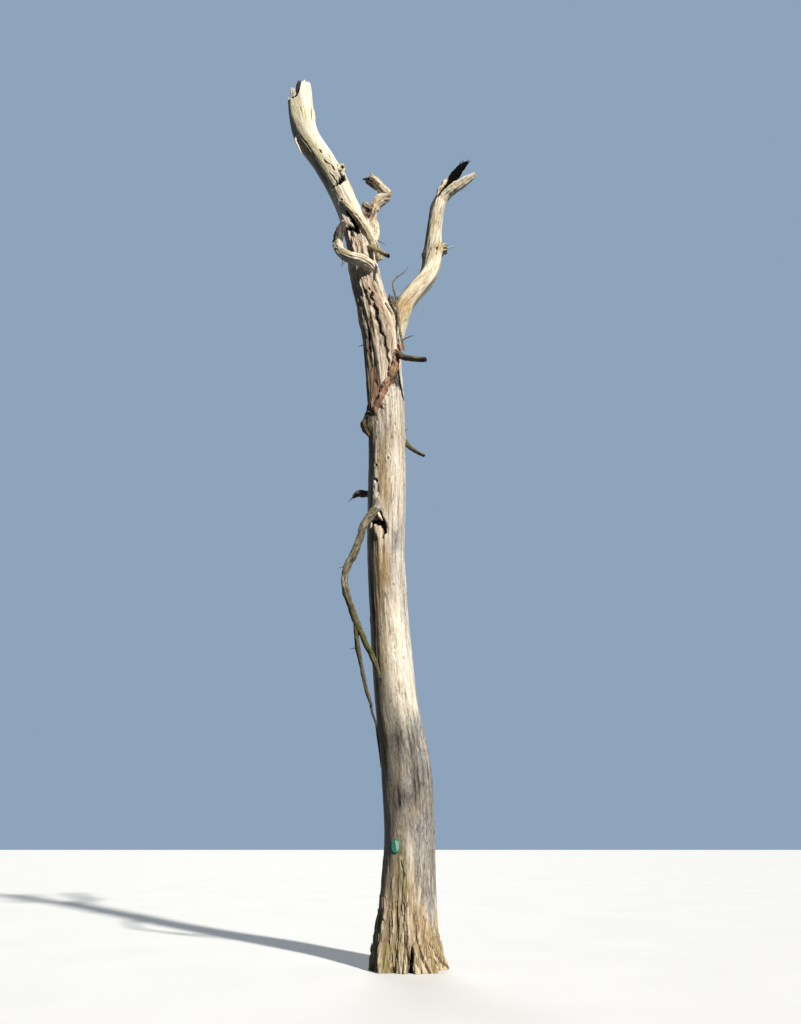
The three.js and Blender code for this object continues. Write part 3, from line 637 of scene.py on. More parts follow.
# ---------------------------------------------------------------- the main stem
main_line = Line(MAIN_AXIS, True)
L = main_line.length
q_fork, q_top = main_line.s[9], main_line.s[12]
q_rows = [np.arange(0, 1300, 9.0)]
sections_at = [q_fork / 4, q_fork / 2, q_fork * 3 / 4, q_fork, q_top, L]
edge = 1300.0
for stop in sections_at:
    step = 15.0 if stop < q_fork + 1 else 13.0
    n = max(int(round((stop - edge) / step)), 1)
    q_rows.append(np.linspace(edge, stop, n + 1)[:-1])
    edge = stop
q_rows.append([L])
q_rows = np.concatenate(q_rows)
COLS = 256
main = Limb("main", MAIN_AXIS, q_rows=q_rows, cols=COLS, section=trunk_section, up=True)
z = main.c[:, 2:3]
A = main.A[None, :]
Q = main.q[:, None]
turn = -0.00004 * main.q - 0.00013 * np.maximum(main.q - 8400, 0)


def F(along, across, seed, turned=True):
    return field(main.q, COLS, 2050, along, across, seed, turn if turned else None)


base = 1 - smooth(250, 1500, z)
foot = 1 - smooth(60, 700, z)
frayed = 1 - smooth(380, 1000, z + 130 * F(500, 200, 10))
ropey = window(7900, 9000, 11900, 12900, z)
crinkled = window(9300, 9900, 11900, 12500, z)
lead = smooth(12600, 13400, z)
left = near_angle(A, -118, 40)
form = Relief(main, 50)
D, crack = form.D, form.crack

D += 6 * F(700, 260, 11)
D += (2.8 + 6 * base + 6 * ropey) * F(1100, 90, 12)
D += (1.2 + 4 * base + 3.6 * ropey) * F(520, 36, 13)
D += (0.9 + 2.2 * base + 1.5 * ropey) * F(260, 17, 14)
D += (0.7 + 1.2 * base + 0.6 * ropey) * F(120, 20, 69)
D += crinkled * (4 + 5 * left) * F(190, 50, 61) + crinkled * (2.4 + 3 * left) * F(110, 30, 62)
D -= crinkled * (4 + 7 * left) * valleys(F(330, 70, 63), 0.22)
D -= frayed * 11 * valleys(F(420, 62, 64), 0.14) + frayed * 7 * valleys(F(260, 32, 65), 0.18)
D += frayed * 5 * F(150, 26, 66) + frayed * 4 * F(240, 60, 68) + frayed * 6 * F(700, 44, 70)
D -= frayed * 6 * valleys(F(560, 46, 71), 0.20)
D *= 1 - 0.5 * lead
calm = window(1300, 1900, 4000, 4700, z)
D *= 1 - 0.45 * calm
D -= (1 - base) * (1 - ropey) * 1.6 * valleys(F(620, 60, 67), 0.16)


def groove(f, width, depth, where=1.0, darken=1.0):
    """Cut a groove along the zero line of a field."""
    g = lines(f, width) * where
    D[:] = D - depth * g
    # the groove is marked for painted shade by the wood material
    crack[:] = np.maximum(crack, np.clip(g * darken, 0, 1))


patch = smooth(-0.5, 0.5, F(900, 300, 21))
patch2 = smooth(-0.2, 0.7, F(700, 220, 22))
groove(F(800, 150, 23), 0.12, 13, base * patch, 0.3)
groove(F(460, 75, 24), 0.16, 8, base * patch2, 0.25)
groove(F(1300, 170, 25), 0.11, 14, ropey * patch, 0.5)
groove(F(620, 90, 26), 0.15, 9, ropey * patch2, 0.4)
groove(F(900, 120, 27), 0.08, 5, (1 - 0.6 * calm) * (1 - base) * (1 - 0.6 * lead) * smooth(0.2, 0.9, F(800, 200, 28)), 0.5)
groove(F(420, 70, 29), 0.12, 3.5, (1 - 0.5 * calm) * (1 - base) * (1 - 0.6 * lead) * smooth(0.3, 0.9, F(500, 150, 30)), 0.4)

# thin shells of the outer wood that are left, with pointed ends
flake = F(420, 60, 31)
shell = smooth(-0.10, 0.12, flake)
shell_zone = window(200, 450, 1000, 1500, z) + window(5200, 6200, 9800, 10600, z) * 0.5
D += 7 * (shell - 0.5) * shell_zone
shell_edge = lines(flake, 0.14) * shell_zone
cut, swell, knot = form.cut, form.swell, form.knot

# the hollow under the strand that lies on the leader
cut([(12760, -119, 14, 30), (12695, -117.8, 22, 60), (12575, -114.4, 28, 84), (12460, -111, 30, 90), (12340, -105.7, 31, 92), (12180, -98, 33, 90), (12050, -92.5, 34, 80), (11960, -90, 20, 40)], power=3.0)
cut([(12110, -140, 18, 16), (12060, -124, 30, 30), (12010, -108, 32, 36), (11950, -96, 28, 34), (11900, -86, 14, 14)], power=3.0)
swell([(12760, -142, 50, 8), (12560, -140, 56, 34), (12330, -137, 58, 44), (12160, -132, 48, 30), (12060, -130, 40, 8)])
cut([(12700, -96, 5, 10), (12535, -91, 8, 18), (12330, -86, 8, 20), (12110, -80, 7, 14), (11960, -76, 5, 8)])
swell([(11900, -128, 50, 10), (11700, -124, 60, 24), (11450, -118, 60, 14)])
# long grooves where the strands of the upper trunk part
cut([(10620, -92, 22, 34), (10520, -88, 26, 46), (10420, -95, 24, 44), (10290, -89, 20, 36), (10185, -94, 22, 42), (10050, -90, 18, 34), (9905, -97, 24, 44),
     (9770, -92, 24, 42), (9635, -94, 24, 44), (9505, -84, 26, 46), (9370, -84, 28, 46), (9240, -78, 24, 40), (9120, -80, 20, 36), (9020, -73, 22, 36), (8880, -78, 20, 30), (8760, -73, 14, 18)], dark=0.8)
cut([(10260, -44, 20, 60), (10145, -41, 28, 75), (10035, -37, 30, 75), (9915, -32, 30, 72), (9810, -30, 30, 68), (9675, -33, 26, 56),
     (9565, -31, 22, 46), (9400, -22, 18, 32), (9250, -16, 12, 16)])
knot(10560, -108, 30, 6, 40, 1.8)
cut([(9960, -126, 10, 14), (9800, -130, 16, 24), (9685, -132, 18, 28), (9430, -134, 16, 26), (9260, -127, 10, 14)], dark=0.8)
swell([(10300, -66, 90, 10), (10100, -66, 100, 24), (9700, -63, 105, 26), (9400, -57, 90, 22), (9150, -50, 60, 10)])
swell([(10350, -112, 60, 8), (10000, -112, 66, 16), (9500, -110, 66, 14), (9100, -104, 50, 6)])
# the foot: cavities, furrows and the cracks between the roots
cut([(330, -85.5, 10, 20), (270, -85.5, 20, 60), (150, -86, 30, 120), (0, -86.5, 38, 160)])


def slit(points, dark=0.55):
    """A narrow gap between two strands of the foot."""
    cut([(a, b, 0.62 * c, 0.62 * d) for a, b, c, d in points], dark=dark)


slit([(300, -72, 8, 14), (150, -70, 13, 34), (0, -68, 18, 46)])
slit([(240, -94, 8, 14), (120, -94, 12, 30), (0, -95, 16, 42)])
slit([(420, -46, 8, 14), (260, -38, 13, 32), (120, -30, 15, 40)])
slit([(620, -74, 7, 12), (480, -70, 12, 24), (360, -66, 9, 16)])
slit([(700, -128, 8, 14), (560, -127, 12, 26), (420, -126, 9, 16)])
slit([(300, -146, 9, 16), (150, -144, 14, 34), (0, -143, 18, 44)])
slit([(570, -114, 16, 24), (470, -114, 20, 42), (380, -114, 18, 34), (330, -115, 12, 14)])
slit([(750, -109, 12, 20), (700, -108, 15, 32), (640, -106, 12, 20)], 0.9)
slit([(545, -95, 10, 18), (455, -94.4, 12, 26)])
slit([(650, -150, 10, 18), (575, -142, 14, 30), (500, -141, 10, 16)])
slit([(850, -144, 8, 14), (740, -140, 12, 24)])
slit([(520, -159.5, 9, 20), (415, -158, 12, 38), (330, -163, 13, 42), (250, -164, 13, 40), (150, -162, 14, 40), (0, -160, 18, 46)], 0.9)
slit([(640, -61, 10, 16), (520, -57, 14, 30), (325, -51, 17, 42), (180, -25, 20, 44), (60, -4, 22, 40), (0, 2, 22, 40)])
slit([(180, -50, 12, 20), (85, -39, 22, 48), (0, -20, 34, 70)], 0.9)
slit([(470, -77, 10, 18), (375, -76, 13, 30), (185, -66, 17, 44), (0, -54, 24, 56)])
slit([(330, -128, 14, 20), (150, -124, 20, 40), (0, -122, 26, 50)])
slit([(420, -100, 10, 16), (200, -101, 15, 28), (0, -103, 18, 36)])
for k, (deg, high) in enumerate([(18, 520), (33, 380), (68, 470), (79, 260), (108, 560), (122, 330), (152, 480), (165, 300), (-178, 560), (-12, 300)]):
    slit([(high, deg + 4, 9, 12), (high * 0.6, deg, 15, 34), (high * 0.3, deg - 3, 20, 46), (0, deg - 5, 26, 60)], 0.75)
# cracks higher up the trunk
cut([(1300, -111, 5, 10), (1235, -108.5, 9, 20), (1190, -106, 7, 14), (1140, -104, 9, 22), (1065, -106, 5, 10), (950, -107, 5, 10),
     (805, -108, 6, 14), (725, -110, 8, 18)])
cut([(8020, -62.5, 5, 9), (7860, -63.7, 6, 12)])
cut([(7680, -76.5, 5, 9), (7590, -77, 7, 14)])
cut([(8050, -122, 6, 12), (7950, -122.5, 7, 14)])
cut([(7840, -83.8, 5, 9), (7730, -86.3, 6, 11)])
cut([(8600, -25.5, 7, 14), (8480, -22.5, 8, 18)])
knot(7235, -88, 30, 8, 12)
knot(5150, -72, 26, 5, 5)
knot(4020, -58, 30, 5, 6)
knot(3100, 42, 42, 9, 16)
knot(6100, 96, 50, 12, 22)
knot(8700, 130, 46, 12, 20)
knot(4700, 165, 36, 8, 12)
knot(7200, 20, 34, 8, 12)
# the torn place where the hanging limb let go
cut([(6865, -127, 26, 46)], pad=120)
swell([(6840, -125.5, 30, 14), (6665, -123, 38, 30), (6525, -120.5, 44, 34), (6390, -116.5, 44, 26)])
cut([(6790, -117, 8, 14), (6625, -114, 11, 22), (6485, -111, 11, 22), (6350, -112.5, 12, 26)])
cut([(6350, -112.5, 16, 40), (6230, -103, 18, 60), (6120, -93.5, 22, 85), (5980, -90, 18, 70)])
cut([(6150, -149, 22, 40), (6185, -132, 26, 75), (6175, -117, 28, 95), (6130, -104, 32, 110), (6050, -96.5, 32, 120), (5960, -96, 26, 100), (5890, -98, 16, 40)])
swell([(6110, -124, 34, 18), (5995, -118, 40, 30), (5875, -109, 42, 24), (5730, -106, 46, 18), (5445, -106, 46, 12), (5070, -109, 40, 6)])
cut([(5880, -96, 10, 16), (5600, -98, 8, 12), (5350, -100, 6, 8)])

# the leader: cracks, and the seam beside its knob
cut([(13750, -100, 10, 16), (13660, -96, 16, 28), (13600, -84, 9, 16), (13520, -80, 15, 26), (13440, -84, 7, 12)])
cut([(13860, -70, 6, 9), (13800, -62, 10, 16), (13730, -64, 6, 9)])
cut([(13990, -95, 8, 12), (13960, -90, 14, 22), (13900, -93, 8, 12)])
cut([(13440, -112, 8, 12), (13340, -104, 12, 20), (13260, -106, 8, 12)])
cut([(13330, -30, 16, 34), (13262, -45, 34, 90), (13205, -77, 42, 112), (13160, -98, 40, 100), (13135, -118, 28, 60), (13112, -138, 14, 20)])
cut([(13650, -38, 9, 18), (13540, -47, 14, 40), (13440, -57, 18, 50), (13350, -60, 22, 60), (13270, -60, 26, 70)])
cut([(15060, -34, 6, 10), (14940, -38, 12, 30), (14830, -42, 12, 24), (14740, -44, 7, 10)])
swell([(7560, -124, 30, 10), (7300, -124, 38, 22), (7000, -125, 40, 28), (6860, -125, 30, 16)])
knot(7120, -122, 24, 8, 18)
cut([(14480, -128, 8, 10), (14250, -124, 14, 20), (13960, -128, 10, 14)])
cut([(15120, -98, 8, 12), (14900, -92, 10, 14), (14700, -90, 6, 8)])

# hollow jagged top
rng = np.random.default_rng(77)


def teeth(A, seed, count, width, sharp=1.0):
    """Pointed teeth round an edge, 0 to 1."""
    r = np.random.default_rng(seed)
    out = np.zeros_like(A)
    for _ in range(count):
        d = A - r.uniform(0, 2 * np.pi)
        d = np.abs(np.arctan2(np.sin(d), np.cos(d)))
        out = np.maximum(out, r.uniform(0.25, 1) * np.clip(1 - d / (width * r.uniform(0.4, 1.2)), 0, 1) ** sharp)
    return out


rim_a = main.A
RIM = [(-180, -45), (-172, -30), (-165, -100), (-150, -140), (-135, -183), (-120, -205), (-110, -210), (-100, -168), (-95, -111), (-90, -79), (-85, -30),
       (-80, 47), (-75, 109), (-70, 150), (-60, 205), (-52, 238), (-45, 214), (-38, 200), (-30, 236), (-22, 240), (-15, 258), (-5, 262), (5, 294), (15, 262),
       (30, 200), (50, 210), (70, 130), (95, 150), (120, 60), (145, 90), (165, -10), (180, -45)]
rim = np.interp(np.degrees(np.arctan2(np.sin(rim_a), np.cos(rim_a))), [x[0] for x in RIM], [x[1] for x in RIM])
rim = rim + 38 * teeth(rim_a, 5, 26, 0.16) + 26 * teeth(rim_a, 6, 60, 0.06) - 24

D *= 1 - 0.85 * window(1330, 1380, 1590, 1640, z) * near_angle(A, -121, 16)
limit = np.where(z < 1500, 400, 130)
D = np.clip(D, -limit, 60)
D += 26 * near_angle(A, 0, 26) * smooth(L - 420, L - 60, Q)
D += 30 * near_angle(A, -140, 20) * smooth(14300, 14600, z) - 8 * near_angle(A, -104, 16) * smooth(14300, 14600, z)

P = main.c[:, None] + (main.R + D)[..., None] * main.radial()
ramp = smooth(0, 1, np.clip((main.q - (L - 520)) / 520, 0, 1))[:, None]
P = P + (ramp * rim[None, :])[..., None] * main.t[-1][None, None]
P[0, :, 2] = 0

# ---------------------------------------------------------------- the other limbs
SPEC = {  # columns, row step, section seed, raggedness, fillet share, slot, nodes
    "right_bough": (128, 12, 2.1, 0.1, 0.9, "bough_wood", ["right_bough_lower", "right_bough_upper"]),
    "upper_prong": (64, 9, 2.7, 0.5, 0.5, "bough_wood", ["upper_prong"]),
    "lower_prong": (64, 9, 3.2, 0.4, 0.5, "bough_wood", ["lower_prong"]),
    "right_knot": (64, 6, 0.7, 0.3, 0.9, "bough_wood", ["right_knot"]),
    "leader_knob": (64, 6, 2.2, 0.3, 0.8, "bough_wood", ["leader_knob"]),
    "leader_strand": (64, 9, 1.1, 0.4, 0.12, "bough_wood", ["leader_strand"]),
    "crook": (96, 9, 4.4, 0.22, 0.8, "bough_wood", ["crook_lower", "crook_upper"]),
    "shoulder_stub": (64, 9, 5.1, 0.35, 0.7, "bough_wood", ["shoulder_stub"]),
    "curl": (88, 9, 0.4, 0.25, 0.8, "bough_wood", ["curl_lower", "curl_upper"]),
    "upper_right_stub": (44, 8, 6.0, 0.1, 0.9, "stub_wood", ["upper_right_stub"]),
    "crotch_stub": (52, 8, 3.9, 0.8, 0.6, "dark_wood", ["crotch_stub"]),
    "fork_stub": (52, 9, 1.9, 0.2, 0.8, "algae_wood", ["fork_stub"]),
    "diagonal_strand": (64, 8, 2.4, 0.3, 0.15, "inner_bark", ["diagonal_strand"]),
    "side_burl": (72, 8, 5.6, 0.5, 0.7, "stub_wood", ["side_burl"]),
    "mid_right_branch": (40, 9, 0.9, 0.2, 0.9, "algae_wood", ["mid_right_branch"]),
    "crook_knob": (56, 6, 1.4, 0.3, 0.5, "bough_wood", []),
    "elbow_knob": (48, 6, 4.0, 0.5, 0.7, "bough_wood", []),
    "left_stub": (48, 8, 3.3, 0.3, 0.8, "dark_wood", ["left_stub"]),
    "droop": (56, 10, 4.9, 0.2, 0.6, "algae_wood", ["droop_upper", "droop_lower"]),
    "droop_fork": (36, 12, 1.5, 0.2, 0.6, "algae_wood", ["droop_fork"]),
}
limbs = {}
for name, (cols, step, seed, ragged, fillet, slot, nodes) in SPEC.items():
    limbs[name] = Limb(name, LIMBS[name], step=step, cols=cols, section=uneven(0.07, seed))
    limbs[name].fillet = fillet
    limbs[name].ragged = ragged


def blend_out(points, own_r, other, share, fixed=None):
    """How far a surface point moves out so that two limbs flow into each other."""
    low = other.c.min(0) - other.r.max() * 2 - 200
    high = other.c.max(0) + other.r.max() * 2 + 200
    inside = np.all((points > low) & (points < high), axis=1)
    out = np.zeros(len(points))
    if inside.any():
        d, r = other.distance(points[inside])
        k = np.clip(share * (r if own_r is None else np.minimum(r, own_r[inside])), 14, 170)
        out[inside] = np.maximum(k - np.maximum(d, 0), 0) ** 2 / (4 * k)
    return out


radial = main.radial()
flat = P.reshape(-1, 3)
extra = np.zeros(len(flat))
for limb in limbs.values():
    extra = np.maximum(extra, blend_out(flat, None, limb, limb.fillet))
extra = extra.reshape(main.R.shape)
P = P + extra[..., None] * radial
P[0, :, 2] = 0
N = normals_of(P)

# ---- tones of the main stem
n_big = F(1400, 420, 41)
n_mid = F(600, 160, 42)
n_str = F(700, 45, 43)
n_str2 = F(420, 26, 44)
n_low = F(900, 300, 45)
zz = z + 260 * n_low + 120 * n_str
relief = np.clip((D - blur(D, 4, 5)) / (5 + 5 * base + 3 * ropey), -1, 1)
brown_zone = window(8700, 9500, 10900, 11900, zz)
zb = zz + 900 * near_angle(A, 115, 55) * (1 + 0.4 * n_str) - 700 * near_angle(A, 25, 42) * (1 + 0.5 * n_str2)
grey_t = np.clip(smooth(600, 1200, z + 280 * n_low + 260 * n_str + 300 * near_angle(A, -48, 42)) * window(-900, -600, 3050, 3700, zb) * (0.86 + 0.22 * n_str + 0.2 * n_mid)
                 + window(4000, 4800, 8200, 9000, zz) * (0.06 + 0.30 * np.maximum(n_str2 - 0.2, 0) + 0.10 * n_mid)
                 + window(5200, 5500, 5900, 6300, zz) * 0.3 * near_angle(A, -50, 40) + 0.05 + 0.06 * n_mid, 0, 1)
blue_patch = window(2000, 2400, 3000, 3500, zz) * smooth(0.1, 1.0, n_mid + 0.3 * n_str + 0.7 * near_angle(A, -48, 28))
grey_t = np.clip(grey_t + 0.5 * blue_patch + 0.22 * window(1100, 1500, 3300, 3900, zz) * near_angle(A, -70, 34), 0, 1) * (1 - 0.8 * smooth(10200, 11200, z))
# the bleach near -94 degrees low on the foot is partly its own pale wood, partly painted light over the shade of its
# splinters and grooves
bleach_t = np.clip(smooth(2500, 3500, zb) * (1 - 0.60 * brown_zone) * (0.85 + 0.20 * n_mid + 0.15 * n_str + 0.35 * near_angle(A, -20, 70) - 0.50 * near_angle(A, -122, 26) * (1 - lead))
                   + 0.85 * window(400, 640, 1100, 1500, zz) * near_angle(A, -38, 50) + 0.75 * window(200, 420, 900, 1300, zz) * near_angle(A, -94, 30)
                   + 0.6 * window(7500, 7800, 8250, 8500, zz) * near_angle(A, -90, 24), 0, 1)
zf = z + 280 * n_low + 260 * n_str + 140 * n_str2 + 340 * near_angle(A, -48, 42) - 120 * near_angle(A, -122, 30)
ochre_t = np.clip((1 - smooth(250, 1000, zf)) * (0.92 + 0.2 * n_mid + 0.15 * n_str)
                  + 0.30 * near_angle(A, -132, 26) * window(-900, -600, 900, 1300, zz)
                  + 0.35 * near_angle(A, -118, 34) * window(500, 900, 5000, 6000, zz) * (0.8 + 0.4 * n_str)
                  + 0.50 * near_angle(A, -104, 28) * window(4600, 5400, 9000, 9600, zz) * (0.7 + 0.6 * n_str) * (1 - 0.7 * window(7500, 7800, 8250, 8500, zz) * near_angle(A, -90, 24))
                  + 0.14 * window(6500, 7300, 9000, 9800, zz)
                  + 0.30 * brown_zone * (0.7 + 0.6 * n_str) + 0.16 * lead * np.maximum(n_str, 0) + 0.10 * np.maximum(n_mid, 0), 0, 1)
red_t = np.clip(window(8000, 9000, 11600, 12300, zz) * near_angle(A, -118, 40) * (0.45 + 0.45 * n_str)
                + 0.75 * window(4200, 4700, 6300, 7000, zz) * near_angle(A, -109, 19) * (0.65 + 0.5 * n_str2)
                + 0.4 * window(300, 480, 620, 760, z) * near_angle(A, -66, 7)
                + 0.16 * window(6000, 8000, 11500, 12500, zz) * np.maximum(n_str, 0), 0, 1)
algae_t = np.clip(window(350, 800, 1100, 1800, zz) * 0.40 * near_angle(A, -112, 38) * (0.8 + 0.5 * n_mid)
                  + window(60, 200, 1000, 1800, zz) * 0.30 * near_angle(A, -168, 32) * (0.8 + 0.5 * n_mid)
                  + 0.20 * near_angle(A, -124, 30) * window(2400, 3300, 5600, 6300, zz)
                  + 0.34 * near_angle(A, -104, 10) * window(5000, 5300, 5800, 6000, zz)
                  + 0.70 * smooth(12400, 13600, z) * smooth(0.0, 1.0, 0.8 * n_mid + 1.1 * near_angle(A, -118, 24))
                  + 0.10 * np.maximum(n_low, 0), 0, 1)
# painted light: paler wood low on the shaded left of the foot
bleach_t = np.clip(bleach_t + 0.12 * (1 - smooth(500, 900, zz)) * near_angle(A, -150, 30), 0, 1)
moss_t = np.clip(0.75 * (1 - smooth(60, 260, zz)) * near_angle(A, -165, 26) + 0.25 * (1 - smooth(60, 160, z)) * smooth(0.3, 1.2, n_mid), 0, 1)
dark_t = np.clip(0.5 * shell_edge * (0.5 + 0.5 * n_str2) + 0.10 * base * np.maximum(-n_str2, 0)
                 + 0.45 * ropey * near_angle(A, -112, 40) * smooth(0.2, 1.4, n_str2) + 0.14 * blue_patch * np.maximum(n_str2 + 0.2, 0)
                 + 0.14 * window(1500, 2000, 3300, 3700, zz) * np.maximum(n_str2 - 0.3, 0), 0, 1)
dark_t = dark_t + window(1500, 1950, 2800, 3300, zz) * (0.13 + 0.30 * near_angle(A, -118, 32)) * (0.8 + 0.3 * n_mid)
grey_t = np.clip(grey_t + 0.5 * near_angle(A, -76, 16) * window(4600, 4900, 5300, 5600, zz) + 0.5 * near_angle(A, -58, 14) * window(5300, 5500, 5800, 6000, zz), 0, 1)
dark_t = dark_t + 0.34 * np.maximum(n_str2 + 0.4, 0) * (near_angle(A, -76, 18) * window(4500, 4900, 5300, 5700, zz) + near_angle(A, -58, 16) * window(5200, 5500, 5800, 6100, zz))
red_t = np.clip(red_t + 0.35 * near_angle(A, -42, 26) * window(10100, 10500, 10900, 11300, zz) * (0.7 + 0.5 * n_str), 0, 1)
# painted shade: dark bands down the left side of the trunk and of the leader, where shade lies
painted_shade_band = near_angle(A, -150, 22) * window(2600, 3400, 11000, 11500, zz) + near_angle(A, -154, 22) * smooth(12700, 13200, z) + 0.9 * near_angle(A, -136, 18) * window(12900, 13300, 14000, 14400, z) + 1.25 * near_angle(A, -134, 14) * window(2900, 3500, 6000, 6600, zz)
dark_t = np.clip(dark_t + 0.55 * painted_shade_band * (0.8 + 0.3 * n_str2), 0, 1)
red_t = np.clip(red_t + 0.25 * near_angle(A, -134, 12) * window(3000, 3800, 9400, 10200, zz) * (0.8 + 0.4 * n_str2), 0, 1)
crack = np.clip(crack, 0, 1)


def grain_of(limb, rows, turned, offset, R=None):
    mean = limb.r.mean() if R is None else R
    a = limb.A[None, :] - (turned[:, None] if turned is not None else 0)
    g = np.stack([mean * np.cos(a) * np.ones((len(limb.q), 1)), mean * np.sin(a) * np.ones((len(limb.q), 1)),
                  np.repeat(limb.q[:, None], limb.cols, 1)], -1) * 0.001
    return g + np.array(offset)


grain = grain_of(main, None, turn, (0, 0, 0), 330.0)
tone_a = np.stack([grey_t, ochre_t, red_t], -1)
tone_b = np.stack([algae_t, dark_t, crack], -1)
tone_c = np.stack([bleach_t, relief, moss_t], -1)
tone_a, tone_b, tone_c = stain(P, tone_a, tone_b, tone_c, n_str2)

bounds_q = [0, *sections_at]
names = ["trunk_1", "trunk_2", "trunk_3", "trunk_4", "upper_stem_skin", "leader_skin"]
stands = [["trunk"], ["trunk"], ["trunk"], ["trunk"], ["upper_stem"], ["leader_bough"]]
cuts_at = [int(np.argmin(np.abs(main.q - b))) for b in bounds_q]
slots = ["trunk_wood"] * 5 + ["bough_wood"]
made = {}
for name, lo, hi, nodes, slot in zip(names, cuts_at[:-1], cuts_at[1:], stands, slots):
    rows = slice(lo, hi + 1)
    p, n = P[rows], N[rows]
    vec = {"grain": grain[rows], "tone_a": tone_a[rows], "tone_b": tone_b[rows], "tone_c": tone_c[rows]}
    last = name == "leader_skin"
    if last:
        # inside of the hollow top, darker with depth as painted shade
        R_end = (main.R + D)[-1]
        inner, deep = [], []
        steps = 26
        g = np.random.default_rng(9)
        rough = field(np.linspace(0, 700, steps + 1), COLS, 1450, 160, 60, 91)
        for j in range(1, steps + 1):
            w = (j / steps) ** 1.15
            wall = 10 + 56 * smooth(0, 0.22, w)
            down = (1 - w) * rim - w * 560
            rad = (R_end - wall) * (1 - 0.45 * w * w) + 9 * rough[j] * smooth(0, 0.2, w)
            if j == steps:
                rad = rad * 0.55
            inner.append(main.c[-1] + rad[:, None] * radial[-1] + (down + 14 * rough[j] * w)[:, None] * main.t[-1])
            deep.append(w)
        inner = np.array(inner)
        p = np.concatenate([p, inner])
        n = normals_of(p)
        n[:len(P[rows]) - 2] = N[rows][:-2]
        w = np.array(deep)[:, None]
        add_a = np.stack([0.25 + 0 * inner[..., 0], 0.35 + 0 * inner[..., 0], 0.35 + 0 * inner[..., 0]], -1)
        add_b = np.stack([0.15 * (1 - w) + 0 * inner[..., 0], np.clip(0.62 + 0.9 * w, 0, 1) + 0 * inner[..., 0], 0 * inner[..., 0]], -1)
        gr = np.repeat(grain[rows][-1:], steps, 0).copy()
        gr[..., 2] = gr[..., 2] - w * 0.6 + 3.1
        vec = {"grain": np.concatenate([vec["grain"], gr]), "tone_a": np.concatenate([vec["tone_a"], add_a]),
               "tone_b": np.concatenate([vec["tone_b"], add_b]), "tone_c": np.concatenate([vec["tone_c"], 0 * add_b])}
    obj = grid_object(name, p, n, vec, start=(name == "trunk_1"), end=last)
    made[name] = finish_piece(obj, WOODS[slot], nodes)


def limb_tones(limb, s, grey=0.15, ochre=0.1, red=0.0, algae=0.1, dark=0.0, tip_dark=0.0, up_algae=0.0, bleach=0.0, moss=0.0, under=0.0, start=0.0,
               shade=(), side=0.0, moss_from=0.0):
    cols, girth = limb.cols, limb.girth
    f1 = field(limb.q, cols, girth, 300, 90, s + 1)
    f2 = field(limb.q, cols, girth, 220, 22, s + 2)
    f3 = field(limb.q, cols, girth, 90, 60, s + 3)
    up = limb.radial()[..., 2]
    w = (limb.q / limb.q[-1])[:, None]
    rest = smooth(start - 0.05, start + 0.05, w + 0.02 * f3) if start else 1.0
    a = np.stack([np.clip(grey + 0.18 * f1 + 0.10 * f2, 0, 1), np.clip(ochre + 0.22 * f1 - 0.12 * f2, 0, 1) * rest,
                  np.clip(red + 0.7 * red * f2, 0, 1) * rest], -1)
    # under darkens the downward-facing side of the limb: painted shade
    b = np.stack([np.clip(algae + 0.5 * algae * f1 + up_algae * smooth(-0.1, 0.8, up), 0, 1) * rest,
                  np.clip((dark + 0.12 * f2 * (0.3 + dark) + under * smooth(0.1, -0.7, up)) * rest + tip_dark * smooth(0.8, 1.0, w), 0, 1), np.zeros_like(f1)], -1)
    for q0, q1, k in shade:
        b[..., 1] = np.clip(b[..., 1] + k * window(q0 - 24, q0 + 24, q1 - 40, q1 + 40, limb.q[:, None] + 20 * f3), 0, 1)
    # painted shade down the left-facing side of the limb
    if side:
        b[..., 1] = np.clip(b[..., 1] + side * smooth(-0.34, -0.70, limb.radial()[..., 0] + 0.10 * f2), 0, 1)
    c = np.stack([np.clip(bleach + 0.25 * f1 + 0.15 * f2, 0, 1) * smooth(0, 0.2, bleach + 0 * f1) + (1 - rest), np.zeros_like(f1),
                  np.clip(moss * (0.5 + 0.8 * f3) * smooth(-0.4, 0.7, up), 0, 1) * rest * smooth(moss_from, moss_from + 0.15, w + 0.01)], -1)
    return a, b, np.clip(c, 0, 1), f2


